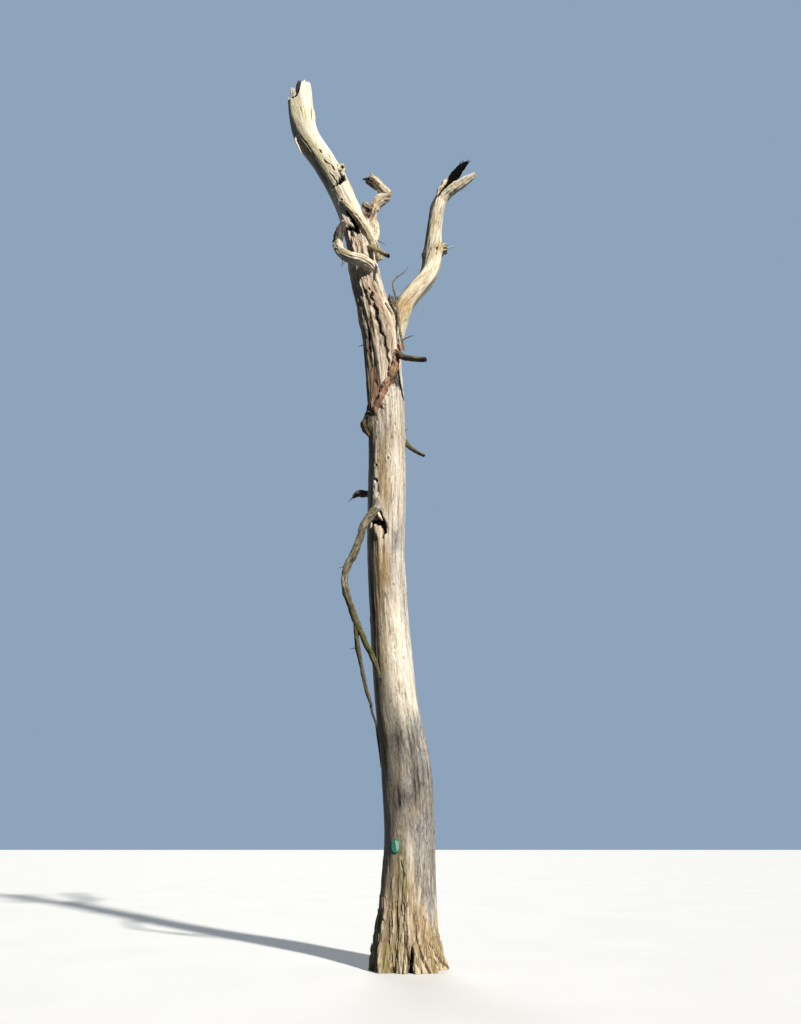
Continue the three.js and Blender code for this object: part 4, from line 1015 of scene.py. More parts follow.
# the under darkening in these entries is painted shade on the limbs' undersides, and the curl's shade is painted shade
# over its upper part
TONES = {
    # painted shade down the bough's left side
    "right_bough": dict(grey=0.02, ochre=0.18, algae=0.14, up_algae=0.34, bleach=0.9, side=0.9),
    "upper_prong": dict(grey=0.03, ochre=0.18, algae=0.15, bleach=0.6),
    "lower_prong": dict(grey=0.0, ochre=0.18, algae=0.18, up_algae=0.15, bleach=1.0),
    "right_knot": dict(grey=0.05, ochre=0.35, algae=0.3, tip_dark=0.6, bleach=0.5),
    "leader_knob": dict(grey=0.05, ochre=0.2, algae=0.1, red=0.1, tip_dark=0.3, bleach=0.75),
    "leader_strand": dict(grey=0.05, ochre=0.28, algae=0.28, tip_dark=0.3, bleach=0.45),
    "crook": dict(grey=0.0, ochre=0.32, algae=0.16, red=0.12, up_algae=0.1, bleach=0.8),
    "crook_knob": dict(grey=0.05, ochre=0.30, algae=0.3, red=0.05, tip_dark=0.6, bleach=0.6),
    "elbow_knob": dict(grey=0.05, ochre=0.30, algae=0.2, tip_dark=0.3, bleach=0.7),
    "shoulder_stub": dict(grey=0.10, ochre=0.18, algae=0.1, tip_dark=0.2, bleach=0.7),
    "curl": dict(grey=0.10, ochre=0.15, algae=0.15, red=0.05, bleach=0.8, shade=[(1080, 1690, 0.95)]),
    "upper_right_stub": dict(grey=0.05, ochre=0.35, algae=0.45, tip_dark=0.7, up_algae=0.2, under=0.4),
    "crotch_stub": dict(grey=0.1, ochre=0.2, algae=0.3, dark=0.35),
    "fork_stub": dict(grey=0.3, ochre=0.1, algae=0.2, up_algae=0.35, dark=0.0, under=0.35, tip_dark=0.4),
    "diagonal_strand": dict(grey=0.03, ochre=0.2, algae=0.06, red=0.7),
    "side_burl": dict(grey=0.05, ochre=0.25, algae=0.2, dark=0.5, red=0.1),
    "mid_right_branch": dict(grey=0.05, ochre=0.05, algae=0.35, up_algae=0.5, under=0.6, tip_dark=0.5),
    "left_stub": dict(grey=0.05, dark=0.55, algae=0.05),
    "droop": dict(grey=0.38, ochre=0.15, algae=0.18, moss=1.5, under=0.3, start=0.16, moss_from=0.55),
    "droop_fork": dict(grey=0.30, ochre=0.15, algae=0.18, moss=0.5, under=0.3, moss_from=0.1),
}
ROUGH = {"crook": 0.07, "crook_knob": 0.14, "elbow_knob": 0.12, "leader_knob": 0.10, "right_knot": 0.12, "curl": 0.05, "shoulder_stub": 0.06,
         "side_burl": 0.16, "droop": 0.08, "droop_fork": 0.08, "diagonal_strand": 0.17, "fork_stub": 0.10, "mid_right_branch": 0.10,
         "crotch_stub": 0.12, "upper_prong": 0.07, "lower_prong": 0.03, "left_stub": 0.1, "upper_right_stub": 0.09, "leader_strand": 0.06}
TWIST = {"right_bough": 0.12, "leader_strand": 0.3, "lower_prong": 0.2, "upper_prong": 0.2, "crook": 0.5}


def shape_of(name, form):
    """The features that show on one limb."""
    cut, swell, knot = form.cut, form.swell, form.knot
    if name == "right_bough":
        cut([(560, -96, 6, 8), (748, -85, 12, 18), (884, -85, 12, 16), (980, -88, 6, 8)])
        cut([(1000, -70, 6, 8), (1104, -65, 10, 15), (1344, -54, 10, 15), (1544, -48, 6, 8)])
        cut([(520, -60, 6, 8), (700, -58, 9, 13), (900, -60, 6, 8)])
        cut([(1500, -92, 5, 7), (1800, -96, 8, 12), (2150, -104, 6, 8)])
        knot(2616, -68, 28, 9, 26)
        knot(2696, -13, 36, 12, 32)
        knot(2560, -40, 16, 5, 14)
        cut([(2770, -88, 6, 8), (2700, -93, 9, 16), (2552, -109, 12, 18), (2412, -118, 8, 10)])
        swell([(2480, -160, 60, 14), (2570, -165, 70, 34), (2660, -165, 60, 14)])
        cut([(3280, -64, 5, 6), (3616, -58, 9, 14), (3750, -60, 5, 6)])
        cut([(2964, -78, 5, 6), (3120, -74, 8, 11), (3312, -67, 5, 6)])
        cut([(3500, -96, 5, 7), (3700, -100, 8, 12), (3860, -108, 9, 14), (3980, -116, 12, 20)])
    if name == "lower_prong":
        cut([(150, -80, 6, 8), (330, -78, 11, 16), (460, -70, 11, 16), (620, -72, 6, 8)])
        cut([(560, -110, 6, 8), (720, -104, 9, 12), (860, -100, 6, 8)])
    if name == "crook":
        knot(1428, -105, 26, 8, 18)
        knot(1340, -140, 24, 7, 16)
        cut([(1180, -150, 8, 12), (1280, -160, 14, 24), (1400, -165, 12, 18)])
        cut([(1160, -118, 8, 12), (1250, -125, 14, 22), (1400, -128, 9, 14)])
        cut([(200, -120, 10, 18), (400, -112, 26, 40), (520, -104, 20, 30), (620, -96, 8, 12)])
        cut([(620, -60, 5, 7), (760, -52, 8, 12), (930, -50, 5, 7)])
        knot(980, -70, 20, 5, 10)
        knot(700, -84, 18, 5, 12)
        swell([(980, -30, 60, 14), (1050, -30, 60, 26), (1120, -36, 50, 10)])
        swell([(1360, -60, 70, 12), (1480, -70, 80, 20)])
    if name == "shoulder_stub":
        cut([(200, -80, 6, 8), (420, -86, 9, 14), (640, -92, 6, 8)])
        knot(760, -70, 22, 6, 12)
    if name == "curl":
        cut([(560, -70, 6, 8), (700, -64, 10, 14), (820, -60, 6, 8)])
        knot(900, -30, 24, 8, 14)
        form.D += 10 * np.exp(-(((form.limb.q[:, None] - 1042 + 6 * form.wave2) / 22) ** 2))
        # painted shade over the curl's upper part, laid into the crack channel to darken it further
        form.crack[:] = np.maximum(form.crack, 0.35 * window(1090, 1150, 1640, 1700, form.limb.q[:, None] + 20 * form.wave))
    if name == "side_burl":
        knot(330, -60, 40, 10, 22)
        cut([(120, -50, 8, 12), (220, -66, 14, 24), (330, -80, 9, 14)])
        cut([(380, -30, 8, 12), (470, -50, 14, 22), (560, -60, 9, 14)])
    if name == "droop":
        knot(690, -90, 24, 12, 10)
        swell([(560, -90, 40, 8), (640, -90, 40, 14), (730, -90, 40, 8)])
    if name == "leader_strand":
        cut([(300, -130, 6, 8), (600, -140, 9, 13), (900, -130, 8, 11), (1200, -120, 5, 7)])
        cut([(400, -80, 5, 7), (700, -90, 7, 10), (1000, -85, 5, 7)])
        knot(1440, -95, 26, 8, 24)
    if name == "leader_knob":
        knot(*where(form.limb, -1226, -240, 13376), 46, 8, 64, 1.25)
        cut([(40, 150, 10, 20), (160, 150, 16, 30), (300, 150, 14, 26), (360, 150, 10, 16)])
    if name == "right_knot":
        for x, y, z in ((640, 120, 11840), (715, 150, 11915), (720, 160, 11810), (610, 130, 11760), (560, 120, 11890), (680, 120, 11880), (660, 130, 11770)):
            knot(*where(form.limb, x, y, z), 17, 5, 22, 1.15)


def limb_object(name):
    limb = limbs[name]
    cols, step, seed, ragged, fillet, slot, nodes = SPEC[name]
    s = int(seed * 1000)
    r = limb.r[:, None]
    rm = float(limb.r.mean())
    g = limb.girth
    q = limb.q
    turned = TWIST.get(name, 1.0) * (0.4 * np.sin(q / 500 + seed) + q * 0.0003 * (1 if seed > 2.5 else -1))

    def f(along, across, k):
        return field(q, cols, g, along, across, s + k, turned)

    form = Relief(limb, s + 31)
    rough = ROUGH.get(name, 0.0)
    form.D += 0.045 * r * f(4.5 * rm, 2.4 * rm, 11) + 0.040 * r * f(8 * rm, 0.9 * rm, 12) + 0.028 * r * f(5 * rm, 0.35 * rm, 13)
    form.D += 0.8 * rough * r * f(90, 60, 18) + 0.5 * rough * r * f(55, 30, 19) - 0.9 * rough * r * valleys(f(160, 60, 20), 0.25)
    gr = lines(f(9 * rm, 1.3 * rm, 14), 0.13) * smooth(-0.3, 0.6, f(8 * rm, 2.5 * rm, 15))
    gr2 = lines(f(5 * rm, 0.8 * rm, 16), 0.16) * smooth(0.0, 0.8, f(6 * rm, 2 * rm, 17))
    most = 5 if name == "right_bough" else 14
    form.D -= np.minimum(0.12 * r, most) * gr + np.minimum(0.07 * r, 6) * gr2
    form.crack[:] = np.clip(0.55 * gr + 0.4 * gr2, 0, 1)
    shape_of(name, form)
    d, crack = np.clip(form.D, -0.75 * r, 60), np.clip(form.crack, 0, 1)
    if name == "right_bough":
        w = smooth(q[-1] - 520, q[-1] - 60, q)[:, None]
        limb.R = limb.R * (1 - 0.5 * w)
    relief = 0.75 * np.clip((d - blur(d, 2.5, 4)) / np.clip(0.035 * r + 1.5, 2, 6), -1, 1)
    rad = limb.R + d
    p = limb.c[:, None] + rad[..., None] * limb.radial()
    # jagged end
    shift = ragged * limb.r[-1] * (0.6 * np.sin(4 * limb.A + 1) + 0.4 * np.sin(7 * limb.A + limb.r[-1])) * 0.6
    shift = shift + ragged * limb.r[-1] * (1.6 * teeth(limb.A, s + 5, 9, 0.5) + 0.7 * teeth(limb.A, s + 6, 22, 0.2) - 0.9)
    reach = 1.6 * limb.r[-1] + 20
    w = smooth(0, 1, np.clip((q - (q[-1] - reach)) / reach, 0, 1))[:, None]
    p = p + (w * shift[None, :])[..., None] * limb.t[-1]
    # flow into the neighbours
    pts = p.reshape(-1, 3)
    own = np.repeat(limb.r, cols)
    out = blend_out(pts, own, main, fillet)
    for other in limbs.values():
        if other is not limb:
            out = np.maximum(out, blend_out(pts, own, other, 0.6 * min(fillet, other.fillet)))
    out = out.reshape(p.shape[:2]) * (1 - w)
    p = p + out[..., None] * limb.radial()
    a, b, c, f2 = limb_tones(limb, s, **TONES[name])
    b[..., 2] = crack * {"right_bough": 0.5, "lower_prong": 0.6, "crook": 0.8}.get(name, 1.0)
    c[..., 1] = relief
    a, b, c = stain(p, a, b, c, f2)
    # sunken, splintered end face
    steps = 9
    rough = np.random.default_rng(s + 8).standard_normal((steps + 1, cols))
    rough = (rough + np.roll(rough, 1, 1)) * 0.5
    ends, end_b = [], []
    R_end = (rad + out)[-1]
    sink = 1.1 if name in ("leader_knob", "right_knot", "crook_knob") else 0.45
    for j in range(1, steps + 1):
        x = j / steps
        level = shift * (1 - x) ** 1.5 - sink * limb.r[-1] * smooth(0.0, 0.75, x) + 0.10 * limb.r[-1] * rough[j] * (1 - x)
        ends.append(limb.c[-1] + (R_end * (1 - x) ** 0.9 if j < steps else R_end * 0.04)[:, None] * limb.radial()[-1] + level[:, None] * limb.t[-1])
    ends = np.array(ends)
    p = np.concatenate([p, ends])
    n = normals_of(p)
    a = np.concatenate([a, np.repeat(a[-1:], steps, 0)])
    tail = np.repeat(b[-1:], steps, 0).copy()
    tail[..., 1] = np.clip(tail[..., 1] + 0.45, 0, 0.95)
    tail[..., 2] = 0.25 * np.linspace(0, 1, steps)[:, None]
    b = np.concatenate([b, tail])
    c = np.concatenate([c, np.repeat(c[-1:], steps, 0)])
    gv = grain_of(limb, None, turned, (seed * 3.7, seed * 1.3, seed * 5.1))
    gt = np.repeat(gv[-1:], steps, 0).copy()
    gt[..., 2] += np.linspace(0, 0.3, steps)[:, None]
    gv = np.concatenate([gv, gt])
    obj = grid_object(name + "_skin", p, n, {"grain": gv, "tone_a": a, "tone_b": b, "tone_c": c}, start=True, end=True)
    return finish_piece(obj, WOODS[slot], nodes)


for name in SPEC:
    made[name] = limb_object(name)

# ---------------------------------------------------------------- twigs and splinters
class Bundle:
    """Many small tapering rods joined into one mesh."""

    def __init__(self):
        self.v, self.f, self.g, self.count = [], [], [], 0

    def rod(self, points, sides=7, flat=1.0, seed=0, rings=None, wobble=0.12):
        line = Line(points)
        n = rings or max(int(line.length / 14), 6)
        q = np.linspace(0, line.length, n + 1)
        limb = Limb("rod", points, q_rows=q, cols=sides, section=uneven(wobble, seed))
        rad = limb.R.copy()
        rr = np.random.default_rng(seed * 7 + 3)
        rad *= 1 + wobble * (rr.standard_normal(rad.shape) * 0.4 + rr.standard_normal((len(q), 1)) * 0.5)
        rad[-1] *= 0.25
        off = (np.cos(limb.A)[None, :, None] * limb.u[:, None] + flat * np.sin(limb.A)[None, :, None] * limb.v[:, None])
        p = limb.c[:, None] + rad[..., None] * off
        rows, cols = p.shape[:2]
        i = np.arange(rows - 1)[:, None] * cols
        k = np.arange(cols)[None, :]
        nx = (k + 1) % cols
        quads = np.stack([i + k, i + nx, i + cols + nx, i + cols + k], -1).reshape(-1, 4)
        base = self.count
        self.f += (quads + base).tolist()
        last = (rows - 1) * cols
        self.f += [[base + last + x for x in range(cols)], [base + x for x in range(cols)][::-1]]
        self.v.append(p.reshape(-1, 3))
        g = np.stack([limb.c[:, None, 0] * 0.001 + 0.02 * np.cos(limb.A)[None, :], limb.c[:, None, 1] * 0.001 + 0.02 * np.sin(limb.A)[None, :],
                      np.repeat(q[:, None] * 0.001, cols, 1) + seed], -1)
        self.g.append(g.reshape(-1, 3))
        self.count += rows * cols

    def build(self, name, material, grey=0.1, ochre=0.1, red=0.0, algae=0.1, dark=0.0, bleach=0.0):
        v = np.vstack(self.v)
        n = len(v)
        a = np.column_stack([np.full(n, grey), np.full(n, ochre), np.full(n, red)])
        b = np.column_stack([np.full(n, algae), np.full(n, dark), np.zeros(n)])
        obj = make_mesh(name, v, self.f, None, None, {"grain": np.vstack(self.g), "tone_a": a, "tone_b": b,
                                                          "tone_c": np.column_stack([np.full(n, bleach), np.zeros((n, 2))])})
        return finish_piece(obj, material, ())


def along(limb, q, deg, out=0.0):
    """A point on a limb's skin, out millimetres proud of it."""
    i = int(np.argmin(np.abs(limb.q - q)))
    a = math.radians(deg)
    r = float(limb.section(np.array(a), limb.q[i], limb.r[i], limb.c[i, 2])) + out
    return limb.c[i] + r * (math.cos(a) * limb.u[i] + math.sin(a) * limb.v[i])


twigs = Bundle()
# the lodged stick
twigs.rod([[26, -100, 11164, 5], [-65, -110, 11023, 9], [-173, -130, 10919, 11], [-244, -150, 10772, 14], [-235, -170, 10626, 16], [-198, -200, 10453, 17],
           [-171, -230, 10218, 19], [-145, -270, 9946, 20], [-119, -330, 9630, 22], [-84, -365, 9407, 22], [-42, -400, 9190, 13]], 9, seed=1, wobble=0.2)
made["lodged_stick"] = twigs.build("lodged_stick", WOODS["algae_wood"], grey=0.5, ochre=0.05)

twigs = Bundle()
twigs.rod([[-640, 60, 11900, 14], [-560, 20, 11870, 11], [-470, -20, 11790, 8], [-380, -60, 11690, 4]], seed=2)
twigs.rod([[-1050, -500, 11040, 10], [-1085, -515, 10960, 8], [-1110, -530, 10880, 6], [-1140, -540, 10800, 3]], seed=3)
twigs.rod([[-1110, -505, 11060, 9], [-1130, -520, 10980, 7], [-1125, -525, 10900, 5], [-1160, -535, 10840, 3]], seed=4)
twigs.rod([[-700, 20, 9590, 12], [-775, 10, 9570, 8], [-850, 0, 9530, 3]], seed=6)
twigs.rod([[-60, -30, 9660, 12], [10, -60, 9680, 8], [80, -90, 9690, 6], [140, -110, 9690, 2]], seed=7)
twigs.rod([[-60, -60, 7830, 10], [-10, -80, 7860, 5], [20, -90, 7880, 2]], seed=8)
twigs.rod([[-430, -330, 8210, 9], [-380, -370, 8180, 7], [-330, -395, 8150, 3]], seed=9)
twigs.rod([[-884, 120, 6721, 16], [-930, 125, 6680, 8], [-965, 128, 6640, 3]], seed=10)
twigs.rod([[-950, -540, 5330, 9], [-1000, -560, 5300, 5], [-1040, -570, 5290, 2]], seed=11)
twigs.rod([[-735, -400, 4151, 9], [-800, -420, 4120, 6], [-850, -430, 4110, 2]], seed=12)
made["twigs"] = twigs.build("twigs", WOODS["dark_wood"], grey=0.25, algae=0.05, dark=0.2)

pale = Bundle()
pale.rod([[700, 262, 11880, 16], [790, 262, 11900, 10], [860, 258, 11922, 8], [935, 250, 11932, 3]], seed=5)
# thin strip that hangs down the left of the trunk
strip = Bundle()
strip.rod([[-540, -150, 3360, 20], [-512, -120, 3240, 18], [-478, -90, 3158, 18], [-432, -50, 2883, 15], [-405, -25, 2700, 13], [-383, -10, 2501, 8]], 8, flat=0.6, seed=13)
made["hanging_strip"] = strip.build("hanging_strip", WOODS["algae_wood"], grey=0.3, ochre=0.2, algae=0.2)
# splinters of the broken top
for k, (deg, up, wide, lean) in enumerate([(0, 40, 16, 0.1), (14, 66, 18, 0), (30, 52, 15, -0.1), (48, 34, 14, 0.2), (70, 28, 14, 0), (-22, 42, 15, 0.1),
                                           (150, 40, 16, -0.1), (168, 62, 20, 0), (-170, 36, 14, 0.2), (120, 24, 12, 0), (-120, 26, 13, 0.1), (-96, 22, 12, 0)]):
    a = math.radians(deg)
    i = int(round(deg / 360 * COLS)) % COLS
    e = radial[-1, i]
    root = main.c[-1] + (main.R[-1, i] - 20) * e + (rim[i] - 70) * main.t[-1]
    tip = root + (70 + up) * main.t[-1] + e * lean * 40
    pale.rod([[*root, wide], [*(root * 0.5 + tip * 0.5), wide * 0.8], [*tip, 3]], 6, flat=0.45, seed=20 + k, rings=6)
# loose splinters on the leader's left and right
pale.rod([[-2060, -262, 14230, 20], [-2110, -290, 14130, 22], [-2125, -300, 14000, 20], [-2072, -300, 13851, 18], [-2030, -296, 13740, 15], [-1991, -290, 13653, 5]], 8, flat=0.5, seed=40)
pale.rod([[-1836, -215, 14380, 20], [-1806, -228, 14500, 28], [-1806, -236, 14640, 32], [-1828, -246, 14790, 32], [-1856, -252, 14900, 24], [-1890, -256, 15040, 4]], 9, flat=0.5, seed=41)
# pale chips that stand in the broken top
base_c = main.c[-1] - 330 * main.t[-1]
for k, (dx, dy, high, wide) in enumerate([(-128, -96, 468, 34), (-88, -112, 440, 30), (-60, -120, 400, 22)]):
    root = base_c + np.array([dx, dy, 0.0])
    tip = root + high * main.t[-1]
    pale.rod([[*root, wide], [*(root * 0.45 + tip * 0.55), wide * 1.05], [*(root * 0.15 + tip * 0.85), wide * 0.8], [*tip, 4]], 9, flat=0.35, seed=50 + k, rings=16)
# white hooked splinter in the torn place, and the pale sliver beside the hanging limb
pale.rod([[-560, -250, 6150, 16], [-572, -300, 6140, 17], [-566, -310, 6085, 16], [-575, -290, 6020, 10]], 8, flat=0.6, seed=42)
pale.rod([[-470, -300, 6330, 10], [-450, -315, 6260, 22], [-415, -310, 6190, 18], [-385, -290, 6150, 4]], 8, flat=0.5, seed=43)
made["splinters"] = pale.build("splinters", WOODS["bough_wood"], grey=0.05, ochre=0.1, algae=0.05, bleach=0.7)

# frayed splinters that lie on the foot
frays = Bundle()
rng = np.random.default_rng(404)
for k in range(230):
    j = rng.uniform(0, COLS)
    low = 14 + 640 * rng.random() ** 1.25
    high = rng.uniform(120, 360)
    wide = rng.uniform(5.5, 12)
    if abs(j / COLS * 360 - 315) < 48:
        low, high = 14 + 0.45 * (low - 14), 0.75 * high
    drift = rng.normal(0, 1.6)
    lift = rng.uniform(3, 16)
    i = np.array([int(np.argmin(np.abs(main.q - (low + high * x)))) for x in (0, 0.2, 0.45, 0.7, 0.9, 1)])
    jj = np.round(j + drift * np.linspace(0, 1, 6)).astype(int) % COLS
    proud = np.array([-0.5, 0.25, 0.45, 0.5, 0.6, 0.6]) * wide + np.array([0, 0, 0, 0, 0.3, 1]) * lift
    at = P[i, jj] + proud[:, None] * N[i, jj]
    frays.rod([[*at[x], wide * (0.5, 0.9, 1.0, 0.8, 0.55, 0.2)[x]] for x in range(6)], 6, flat=0.7, seed=200 + k, rings=max(int(high / 26), 6), wobble=0.2)
made["foot_splinters"] = frays.build("foot_splinters", WOODS["trunk_wood"], grey=0.06, ochre=0.72, red=0.05, algae=0.12, bleach=0.25)

black_rods = Bundle()
for k, (a, b, w) in enumerate([((1060, 280, 13850), (1150, 285, 14120), 18), ((1150, 285, 13950), (1262, 285, 14120), 22), ((1040, 262, 13860), (1090, 255, 14050), 16),
                               ((1190, 300, 14000), (1300, 300, 14105), 14), ((1010, 292, 13830), (1110, 300, 13985), 16), ((960, 270, 13740), (1040, 262, 13870), 15)]):
    a, b = np.array(a, float), np.array(b, float)
    black_rods.rod([[*a, w], [*(a * 0.45 + b * 0.55), w * 0.75], [*b, 3]], 7, flat=0.55, seed=60 + k, rings=8)
# near-black rods among the pale chips of the broken top: painted shade inside the hollow
for k, (dx, dy, high) in enumerate([(-150, -96, 214), (-124, -110, 236), (-98, -120, 226), (-72, -128, 240)]):
    a = main.c[-1] - 330 * main.t[-1] + np.array([dx, dy, 0.0])
    b = a + high * main.t[-1]
    black_rods.rod([[*a, 26], [*(a * 0.3 + b * 0.7), 25], [*b, 12]], 8, flat=0.5, seed=90 + k, rings=10)
# the pointed dark end of the crooked limb
for k, (a, b, w) in enumerate([((-700, -90, 13240), (-852, -104, 13214), 30), ((-680, -10, 13330), (-716, -30, 13380), 20)]):
    a, b = np.array(a, float), np.array(b, float)
    black_rods.rod([[*a, w * 1.3], [*(a * 0.5 + b * 0.5), w], [*b, 3]], 8, flat=0.7, seed=70 + k, rings=8)
# jagged shards in the crotch, near-black as painted shade of its hollow
for k, (a, b, w) in enumerate([((-330, 0, 10430), (-300, -30, 10640), 22), ((-170, 20, 10380), (-160, -10, 10600), 24), ((-215, 40, 10350), (-228, 20, 10520), 20),
                               ((-120, 30, 10430), (-115, 10, 10590), 18), ((-380, 20, 10480), (-372, 0, 10640), 18)]):
    a, b = np.array(a, float), np.array(b, float)
    black_rods.rod([[*a, w * 1.5], [*(a * 0.5 + b * 0.5), w], [*b, 3]], 7, flat=0.6, seed=80 + k, rings=8)
made["black_splinters"] = black_rods.build("black_splinters", WOODS["dark_wood"], grey=0.05, dark=1.0)


# ---------------------------------------------------------------- the dark heart of the hollow top, a sheet of painted shade
def heart():
    edge = [(-150, -60), (-140, 20), (-130, 10), (-121, 60), (-116, 40), (-111, 90), (-105, 160), (-98, 200),
            (-92, 238), (-85, 250), (-78, 286), (-70, 262), (-62, 276), (-55, 236), (-46, 200)]
    n, rows = 88, 40
    deg = np.linspace(-150, -46, n)
    top = np.interp(deg, [x[0] for x in edge], [x[1] for x in edge])
    rng = np.random.default_rng(31)
    rag = rng.standard_normal(n)
    top = top + 9 * rag + 6 * np.roll(rag, 1)
    a = np.radians(deg)
    e = np.cos(a)[:, None] * main.u[-1] + np.sin(a)[:, None] * main.v[-1]
    g = field(np.linspace(0, 800, rows), n, 900, 160, 30, 92)
    sheets = []
    for inner in (0, 1):
        sheet = []
        for j in range(rows):
            w = j / (rows - 1)
            down = top * w - 470 * (1 - w)
            rad = 134 + 5 * g[j] - inner * (10 + 22 * (1 - w))
            sheet.append(main.c[-1] + rad[:, None] * e + down[:, None] * main.t[-1])
        sheets.append(np.array(sheet))
    V = np.concatenate([sheets[0].reshape(-1, 3), sheets[1].reshape(-1, 3)])
    m = rows * n
    faces = []
    for j in range(rows - 1):
        for k in range(n - 1):
            p = j * n + k
            faces.append([p, p + 1, p + n + 1, p + n])
            faces.append([m + p, m + p + n, m + p + n + 1, m + p + 1])
    for k in range(n - 1):
        t = (rows - 1) * n + k
        faces.append([t, t + 1, m + t + 1, m + t])
        faces.append([k + 1, k, m + k, m + k + 1])
    for j in range(rows - 1):
        p, r = j * n, j * n + n - 1
        faces.append([p, p + n, m + p + n, m + p])
        faces.append([r + n, r, m + r, m + r + n])
    height = ((V - main.c[-1]) @ main.t[-1])
    around = np.tile(deg, 2 * rows)
    pale_part = 0.0 * height
    gr = V * 0.001
    a3 = np.column_stack([0.1 + 0 * height, 0.3 + 0 * height, 0.2 * (1 - pale_part)])
    # painted shade: the heart is near-black in the dark channel
    b3 = np.column_stack([0.1 + 0 * height, 0.90 - 0.12 * np.sin(around * 1.7) ** 2, 0 * height])
    c3 = np.column_stack([0.8 * pale_part, 0 * height, 0 * height])
    obj = make_mesh("hollow_heart", V, faces, None, None, {"grain": gr, "tone_a": a3, "tone_b": b3, "tone_c": c3})
    return finish_piece(obj, WOODS["dark_wood"], ())


made["hollow_heart"] = heart()


# ---------------------------------------------------------------- marker plate
def plate():
    low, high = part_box("marker_plate")
    turn_by = math.radians(-121)
    out = np.array([math.cos(turn_by), math.sin(turn_by), 0])
    across = np.array([-math.sin(turn_by), math.cos(turn_by), 0])
    up = np.array([0, 0, 1.0])
    centre = np.array([5, 10, 1483.0])
    face = 345 + 9.0
    rows, n = [], 48
    # from the back edge, round the rolled rim, to the middle of the domed face
    profile = [(0.985, -22), (1.0, -14), (1.0, -6), (0.995, -2.5), (0.975, -0.6), (0.95, 0.0), (0.925, -0.8), (0.905, -2.0), (0.88, -2.4), (0.7, -1.2), (0.45, -0.4), (0.2, 0.0)]
    angles = 2 * np.pi * np.arange(n) / n
    for share, depth in profile:
        rows.append(centre + (face + depth) * out + share * 63 * np.cos(angles)[:, None] * across + share * 89 * np.sin(angles)[:, None] * up)
    P = np.array(rows)
    flat = P.reshape(-1, 3)
    quads = []
    for i in range(len(rows) - 1):
        for k in range(n):
            m = (k + 1) % n
            quads.append([i * n + k, i * n + m, (i + 1) * n + m, (i + 1) * n + k])
    quads.append([(len(rows) - 1) * n + k for k in range(n)])
    local = np.stack([(flat - centre) @ across, (flat - centre) @ out - face, (flat - centre) @ up], -1) * 0.001
    obj = make_mesh("plate", flat, quads, None, None, {"face": local})
    g = Graph("plate_enamel")
    at = g.attribute("face")
    x, y, h = g.split(at)
    wear = g.noise(at, 90, 5, 0.65)
    edge_line = g.maths("ADD", g.maths("MULTIPLY", h, 0.22), g.maths("MULTIPLY", wear, 0.010))
    pale_half = g.range(g.maths("ADD", x, edge_line), 0.008, 0.014)
    inside = g.range(g.maths("ADD", g.maths("POWER", g.maths("DIVIDE", x, 0.054), 2.0), g.maths("POWER", g.maths("DIVIDE", h, 0.079), 2.0)), 1.0, 0.94)
    colour = g.mix(g.maths("MULTIPLY", pale_half, inside), (0.02, 0.23, 0.15), (0.42, 0.66, 0.54))
    colour = g.mix(g.range(wear, 0.60, 0.72), colour, (0.05, 0.16, 0.11))
    rust = g.maths("MULTIPLY", g.range(g.noise(at, 160, 4, 0.7), 0.60, 0.68), g.maths("SUBTRACT", 1.0, inside))
    colour = g.mix(rust, colour, (0.19, 0.07, 0.025))
    g.put(g.shader.inputs["Base Color"], colour)
    g.put(g.shader.inputs["Roughness"], g.range(wear, 0.3, 0.7, 0.22, 0.5))
    g.shader.inputs["Coat Weight"].default_value = 0.3
    g.put(g.shader.inputs["Normal"], g.bump(wear, 0.002, 0.25))
    finish_piece(obj, g.material, ["marker_plate"])
    # nail heads
    heads_v, heads_f = [], []
    for hh in (72, -72):
        c = centre + hh * up + (face - 2) * out
        start = len(heads_v)
        for share, depth in ((1.0, 0.0), (1.0, 1.4), (0.8, 2.4), (0.4, 3.0)):
            for k in range(16):
                a = 2 * math.pi * k / 16
                heads_v.append(c + depth * out + 5.5 * share * (math.cos(a) * across + math.sin(a) * up))
        for i in range(3):
            for k in range(16):
                m = (k + 1) % 16
                heads_f.append([start + i * 16 + k, start + i * 16 + m, start + (i + 1) * 16 + m, start + (i + 1) * 16 + k])
        heads_f.append([start + 48 + k for k in range(16)])
    nails = make_mesh("nail_heads", np.array(heads_v), heads_f)
    g = Graph("nail_steel")
    coord = g.tree.nodes.new("ShaderNodeTexCoord").outputs["Object"]
    spots = g.noise(coord, 400, 3, 0.6)
    g.put(g.shader.inputs["Base Color"], g.mix(g.range(spots, 0.4, 0.6), (0.20, 0.19, 0.18), (0.22, 0.09, 0.04)))
    g.shader.inputs["Metallic"].default_value = 0.6
    g.put(g.shader.inputs["Roughness"], g.range(spots, 0.3, 0.7, 0.4, 0.8))
    finish_piece(nails, g.material, ())


plate()

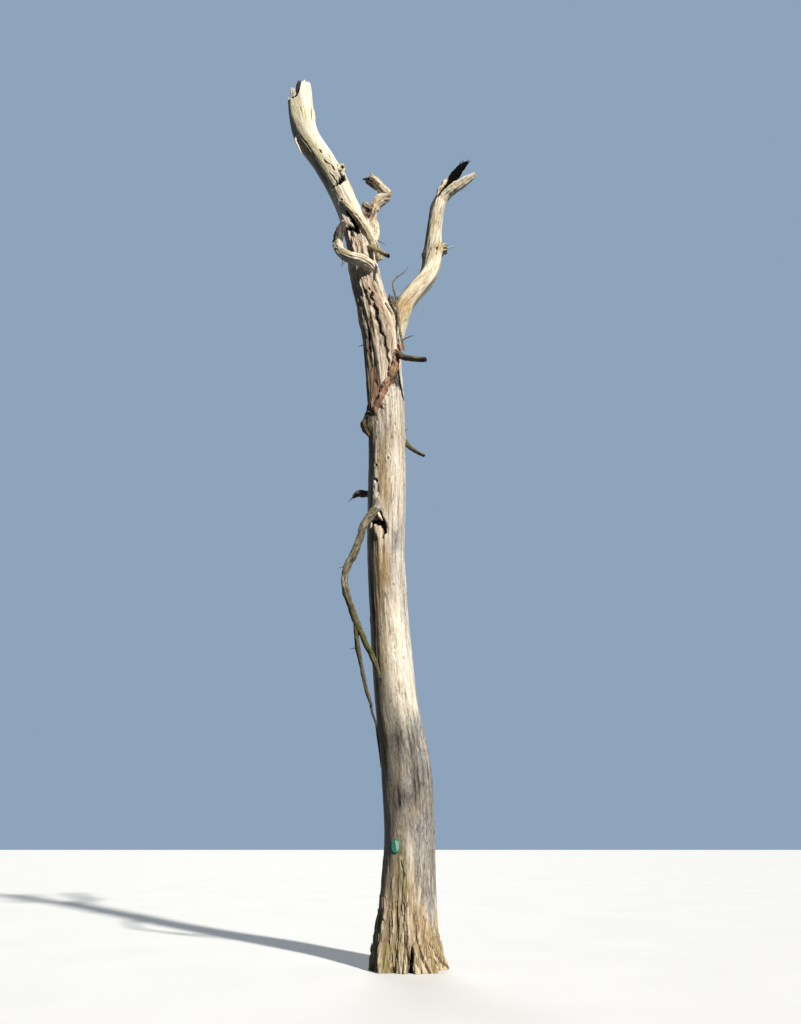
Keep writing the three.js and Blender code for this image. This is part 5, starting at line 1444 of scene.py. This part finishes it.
# ---------------------------------------------------------------- floor, light
floor_mesh = bpy.data.meshes.new("floor")
S = 90.0
floor_mesh.from_pydata([(-S, -S, -0.002), (S, -S, -0.002), (S, S, -0.002), (-S, S, -0.002)], [], [(0, 1, 2, 3)])
floor = bpy.data.objects.new("floor", floor_mesh)
bpy.context.scene.collection.objects.link(floor)
g = Graph("floor_pale")
coord = g.tree.nodes.new("ShaderNodeTexCoord").outputs["Object"]
soft = g.noise(coord, 0.6, 3, 0.5)
g.put(g.shader.inputs["Base Color"], g.mix(g.range(soft, 0.3, 0.7), (0.60, 0.60, 0.59), (0.63, 0.63, 0.62)))
g.shader.inputs["Roughness"].default_value = 0.9
floor_mesh.materials.append(g.material)
floor.visible_diffuse = False

world = bpy.data.worlds.new("studio")
bpy.context.scene.world = world
world.use_nodes = True
wt = world.node_tree
wt.nodes.clear()
out = wt.nodes.new("ShaderNodeOutputWorld")
mixer = wt.nodes.new("ShaderNodeMixShader")
path = wt.nodes.new("ShaderNodeLightPath")
fill = wt.nodes.new("ShaderNodeBackground")
seen = wt.nodes.new("ShaderNodeBackground")
fill.inputs["Color"].default_value = (0.62, 0.78, 1.0, 1)
fill.inputs["Strength"].default_value = 0.125
seen.inputs["Color"].default_value = (0.27, 0.37, 0.50, 1)
seen.inputs["Strength"].default_value = 1.0
wt.links.new(path.outputs["Is Camera Ray"], mixer.inputs[0])
wt.links.new(fill.outputs[0], mixer.inputs[1])
wt.links.new(seen.outputs[0], mixer.inputs[2])
wt.links.new(mixer.outputs[0], out.inputs[0])


def sun(name, azimuth, elevation, strength, angle, colour):
    light = bpy.data.lights.new(name, "SUN")
    light.energy = strength
    light.angle = math.radians(angle)
    light.color = colour
    obj = bpy.data.objects.new(name, light)
    bpy.context.scene.collection.objects.link(obj)
    a, e = math.radians(azimuth), math.radians(elevation)
    d = np.array([math.cos(e) * math.cos(a), math.cos(e) * math.sin(a), math.sin(e)])
    from mathutils import Vector
    obj.rotation_euler = Vector(d).to_track_quat("Z", "Y").to_euler()
    obj.location = tuple(20 * d)


sun("key", -53, 37, 6.3, 2.5, (1.0, 0.965, 0.90))
sun("back", 97, 28, 1.7, 35.0, (0.90, 0.95, 1.0))
bpy.context.scene.view_settings.view_transform = "Standard"
